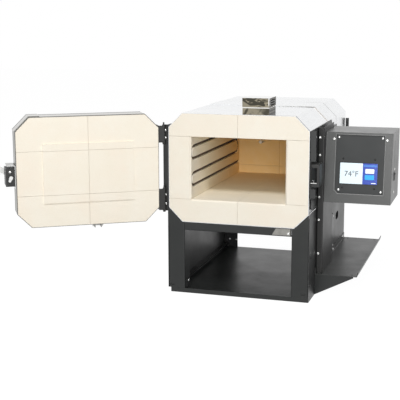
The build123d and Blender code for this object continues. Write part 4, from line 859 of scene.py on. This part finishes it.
# Name, places, radius, height, drive and body of each kind of screw
SCREWS = (
    ("large", LARGE, 4.2, 2.2, "hex", "oven"),
    ("medium", MEDIUM, 3.3, 1.8, "cross", "oven"),
    ("small", SMALL, 2.5, 1.4, "cross", "oven"),
    ("door", DOOR, 3.3, 1.8, "cross", "door"),
)
for name, spots, radius, height, drive, body in SCREWS:
    bm = bmesh.new()
    for at, way in spots:
        # The faceplate's screws and those at the front posts are dark
        dark = name == "small" and way == LEAN or name == "large" and at[1] == POST_Y
        screw_head(bm, at, way, radius, height, drive, int(dark))
    heads = mesh_piece(name + "_screw_heads", bm, MATERIALS["screw_steel"], body)
    heads.data.materials.append(MATERIALS["latch_coat"])
    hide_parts(name + "_screws")


# Display

# The control face's inner lower corner and lean, and the screen on it in millimetres
BOX_IN = 0.1983
TILT = radians(6.6)
SCREEN = (36.0, 47.5, 95.0, 54.0)
FACE = Matrix.Translation((BOX_IN, FRONT + 0.094, 0.2375)) @ Matrix.Rotation(-TILT, 4, "X")


# How far a pane reaches before and behind its depth, in millimetres
PANE_FRONT, PANE_REAR = 0.12, 0.2


def face_ring(bm, points, depth):
    """A ring of points on the control face, at a depth in millimetres behind its plane."""
    return [bm.verts.new(FACE @ Vector((x * MM, depth * MM, z * MM))) for x, z in points]


def pane(name, x0, z0, x1, z1, depth, material, corner=0.8):
    """A thin rounded rectangle on the control face, sizes in millimetres from its lower left."""
    points = []
    for cx, cz, start in ((x1 - corner, z1 - corner, 0), (x0 + corner, z1 - corner, 90),
                          (x0 + corner, z0 + corner, 180), (x1 - corner, z0 + corner, 270)):
        for i in range(4):
            angle = radians(start + 30 * i)
            points.append((cx + corner * cos(angle), cz + corner * sin(angle)))
    bm = bmesh.new()
    front = face_ring(bm, points, depth - PANE_FRONT)
    rear = face_ring(bm, points, depth + PANE_REAR)
    bm.faces.new(front)
    bm.faces.new(rear[::-1])
    skin(bm, rear, front)
    mesh_piece(name, bm, material, "oven", False)


def window_hem():
    """Narrow folded rim round the window of the control box, a little proud of its front, in a
    light grey coat that paints the highlight along the window's edges.
    """
    inner = [(33.5, 23.7), (145.5, 23.7), (145.5, 169.7), (25.5, 169.7), (25.5, 31.7)]
    outer = [(32.7, 21.9), (147.3, 21.9), (147.3, 171.5), (23.7, 171.5), (23.7, 30.9)]
    crown = [(33.0, 22.6), (146.6, 22.6), (146.6, 170.8), (24.4, 170.8), (24.4, 31.2)]
    bm = bmesh.new()
    rings = []
    for points, depth in ((inner, 0.6), (inner, -0.5), (crown, -0.9), (outer, -0.5), (outer, 0.6)):
        rings.append(face_ring(bm, points, depth))
    for a, b in zip(rings, rings[1:] + rings[:1]):
        skin(bm, a, b)
    mesh_piece("window_hem", bm, HEM_HIGHLIGHT, "oven", False)


window_hem()
GLOW = 0.25
PALE = lit("display_pale", (0.74, 0.86, 0.92), GLOW)
BLUE = lit("display_blue", (0.03, 0.07, 0.42), GLOW)
SKY = lit("display_sky", (0.06, 0.20, 0.62), GLOW)
WHITE = lit("display_white", (0.85, 0.90, 0.95), GLOW)
CYAN = lit("display_cyan", (0.02, 0.38, 0.78), 0.3)
INK = plastic("display_ink", (0.03, 0.035, 0.05), 0.3, 0.0)
# The screen's left, bottom, width and height, its border, the line between its two areas,
# and the depths of the areas and of what lies on them
sx, sz, sw, sh = SCREEN
edge = 1.2
split = sx + sw * 0.605
AREA_DEPTH, MARK_DEPTH = 3.35, 3.15
pane("display_left", sx + edge, sz + edge, split, sz + sh - edge, AREA_DEPTH, PALE)
pane("display_right", split + 0.1, sz + edge, sx + sw - edge, sz + sh - edge, AREA_DEPTH, BLUE)
pane("display_bar", split + 2.5, sz + sh - 9.5, sx + sw - 3.0, sz + sh - 4.5, MARK_DEPTH, SKY, 0.4)
pane("button_upper", split + 6.5, sz + 28.0, sx + sw - 9.0, sz + 39.5, MARK_DEPTH, WHITE, 2.0)
pane("button_lower", split + 5.5, sz + 12.5, sx + sw - 9.0, sz + 24.5, MARK_DEPTH, CYAN, 2.0)
pane("display_mark", sx + sw - 16.0, sz + 3.2, sx + sw - 4.5, sz + 5.2, MARK_DEPTH, WHITE, 0.3)


def words(name, text, x, z, size, depth, material):
    """Generic figures laid on the control face."""
    curve = bpy.data.curves.new(name, "FONT")
    curve.body = text
    curve.size = size * MM
    curve.align_x = "CENTER"
    curve.align_y = "CENTER"
    curve.extrude = 0.06 * MM
    flat = bpy.data.objects.new(name + "_curve", curve)
    bpy.context.scene.collection.objects.link(flat)
    built = flat.evaluated_get(bpy.context.evaluated_depsgraph_get())
    mesh = bpy.data.meshes.new_from_object(built)
    bpy.data.objects.remove(flat)
    stand = Matrix.Translation((x * MM, depth * MM, z * MM)) @ Matrix.Rotation(radians(90), 4, "X")
    mesh.transform(FACE @ stand)
    mesh.materials.clear()
    mesh.materials.append(material)
    obj = bpy.data.objects.new(name, mesh)
    bpy.context.scene.collection.objects.link(obj)
    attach(obj, "oven")


words("display_figures", "74°F", sx + sw * 0.31, sz + sh * 0.47, 19.0, MARK_DEPTH, INK)


# Floor, light and camera

FLOOR_HALF, FLOOR_Z = 9, -0.0006
# Brightness of the glow and its share in what the camera and reflections see of the floor
FLOOR_GLOW, FLOOR_SHARE = 1.225, 0.80
WORLD_LIGHT = 0.13


def any_ray(tree, kinds):
    """1 for a ray of any of these kinds, else 0."""
    path = tree.nodes.new("ShaderNodeLightPath")
    seen = path.outputs[kinds[0]]
    for kind in kinds[1:]:
        both = tree.nodes.new("ShaderNodeMath")
        both.operation = "MAXIMUM"
        tree.links.new(seen, both.inputs[0])
        tree.links.new(path.outputs[kind], both.inputs[1])
        seen = both.outputs[0]
    return seen


def mixed(tree, factor, first, second, output):
    """Two shaders mixed by a factor into the tree's output."""
    mixer = tree.nodes.new("ShaderNodeMixShader")
    for source, target in zip((factor, first.outputs[0], second.outputs[0]), mixer.inputs):
        tree.links.new(source, target)
    out = tree.nodes.new(output)
    tree.links.new(mixer.outputs[0], out.inputs["Surface"])


def stage():
    """Pale floor that still takes the shadow."""
    bm = bmesh.new()
    low, high = -FLOOR_HALF, FLOOR_HALF
    corners = ((low, low), (high, low), (high, high), (low, high))
    bm.faces.new([bm.verts.new((x, y, FLOOR_Z)) for x, y in corners])
    mesh = bpy.data.meshes.new("floor")
    bm.to_mesh(mesh)
    bm.free()
    floor = bpy.data.objects.new("floor", mesh)
    bpy.context.scene.collection.objects.link(floor)
    mat = bpy.data.materials.new("floor_pale")
    mat.use_nodes = True
    tree = mat.node_tree
    tree.nodes.clear()
    diffuse = tree.nodes.new("ShaderNodeBsdfDiffuse")
    diffuse.inputs["Color"].default_value = (0.55, 0.55, 0.55, 1)
    glow = tree.nodes.new("ShaderNodeEmission")
    glow.inputs["Strength"].default_value = FLOOR_GLOW
    share = tree.nodes.new("ShaderNodeMath")
    share.operation = "MULTIPLY"
    share.inputs[1].default_value = FLOOR_SHARE
    tree.links.new(any_ray(tree, ("Is Camera Ray", "Is Glossy Ray")), share.inputs[0])
    mixed(tree, share.outputs[0], diffuse, glow, "ShaderNodeOutputMaterial")
    floor.data.materials.append(mat)


def surroundings():
    """Soft grey-white surroundings that light the object, seen as white."""
    world = bpy.data.worlds.new("studio")
    bpy.context.scene.world = world
    world.use_nodes = True
    tree = world.node_tree
    tree.nodes.clear()
    light = tree.nodes.new("ShaderNodeBackground")
    light.inputs["Strength"].default_value = WORLD_LIGHT
    white = tree.nodes.new("ShaderNodeBackground")
    white.inputs["Strength"].default_value = 1.0
    for shade in (light, white):
        shade.inputs["Color"].default_value = (1, 1, 1, 1)
    seen = any_ray(tree, ("Is Camera Ray", "Is Glossy Ray", "Is Transmission Ray"))
    mixed(tree, seen, light, white, "ShaderNodeOutputWorld")


def lamp(name, at, aim, size, power):
    """A square soft light turned towards a point."""
    data = bpy.data.lights.new(name, "AREA")
    data.size = size
    data.energy = power
    obj = bpy.data.objects.new(name, data)
    obj.location = at
    obj.rotation_euler = (Vector(aim) - Vector(at)).to_track_quat("-Z", "Y").to_euler()
    bpy.context.scene.collection.objects.link(obj)


stage()
surroundings()
lamp("key", (0.45, -2.2, 2.45), (0.0, -0.2, 0.25), 0.45, 40)
lamp("front", (0.55, -2.90, 0.84), (0.0, 0.0, 0.32), 1.0, 36.5)

PAN, DOWN, ROLL = 17.81, 10.47, -0.17
CAMERA_AT = (0.6386, -2.5751, 0.7055)
camera_data = bpy.data.cameras.new("camera")
camera_data.lens = 88.875
camera_data.sensor_width = 36.0
camera_data.shift_x = 0.0081
camera_data.shift_y = -0.0132
camera = bpy.data.objects.new("camera", camera_data)
look = (Matrix.Rotation(radians(PAN), 4, "Z") @ Matrix.Rotation(radians(90 - DOWN), 4, "X")
        @ Matrix.Rotation(radians(ROLL), 4, "Z"))
camera.matrix_world = Matrix.Translation(CAMERA_AT) @ look
bpy.context.scene.collection.objects.link(camera)
bpy.context.scene.camera = camera
bpy.context.scene.view_settings.view_transform = "Standard"
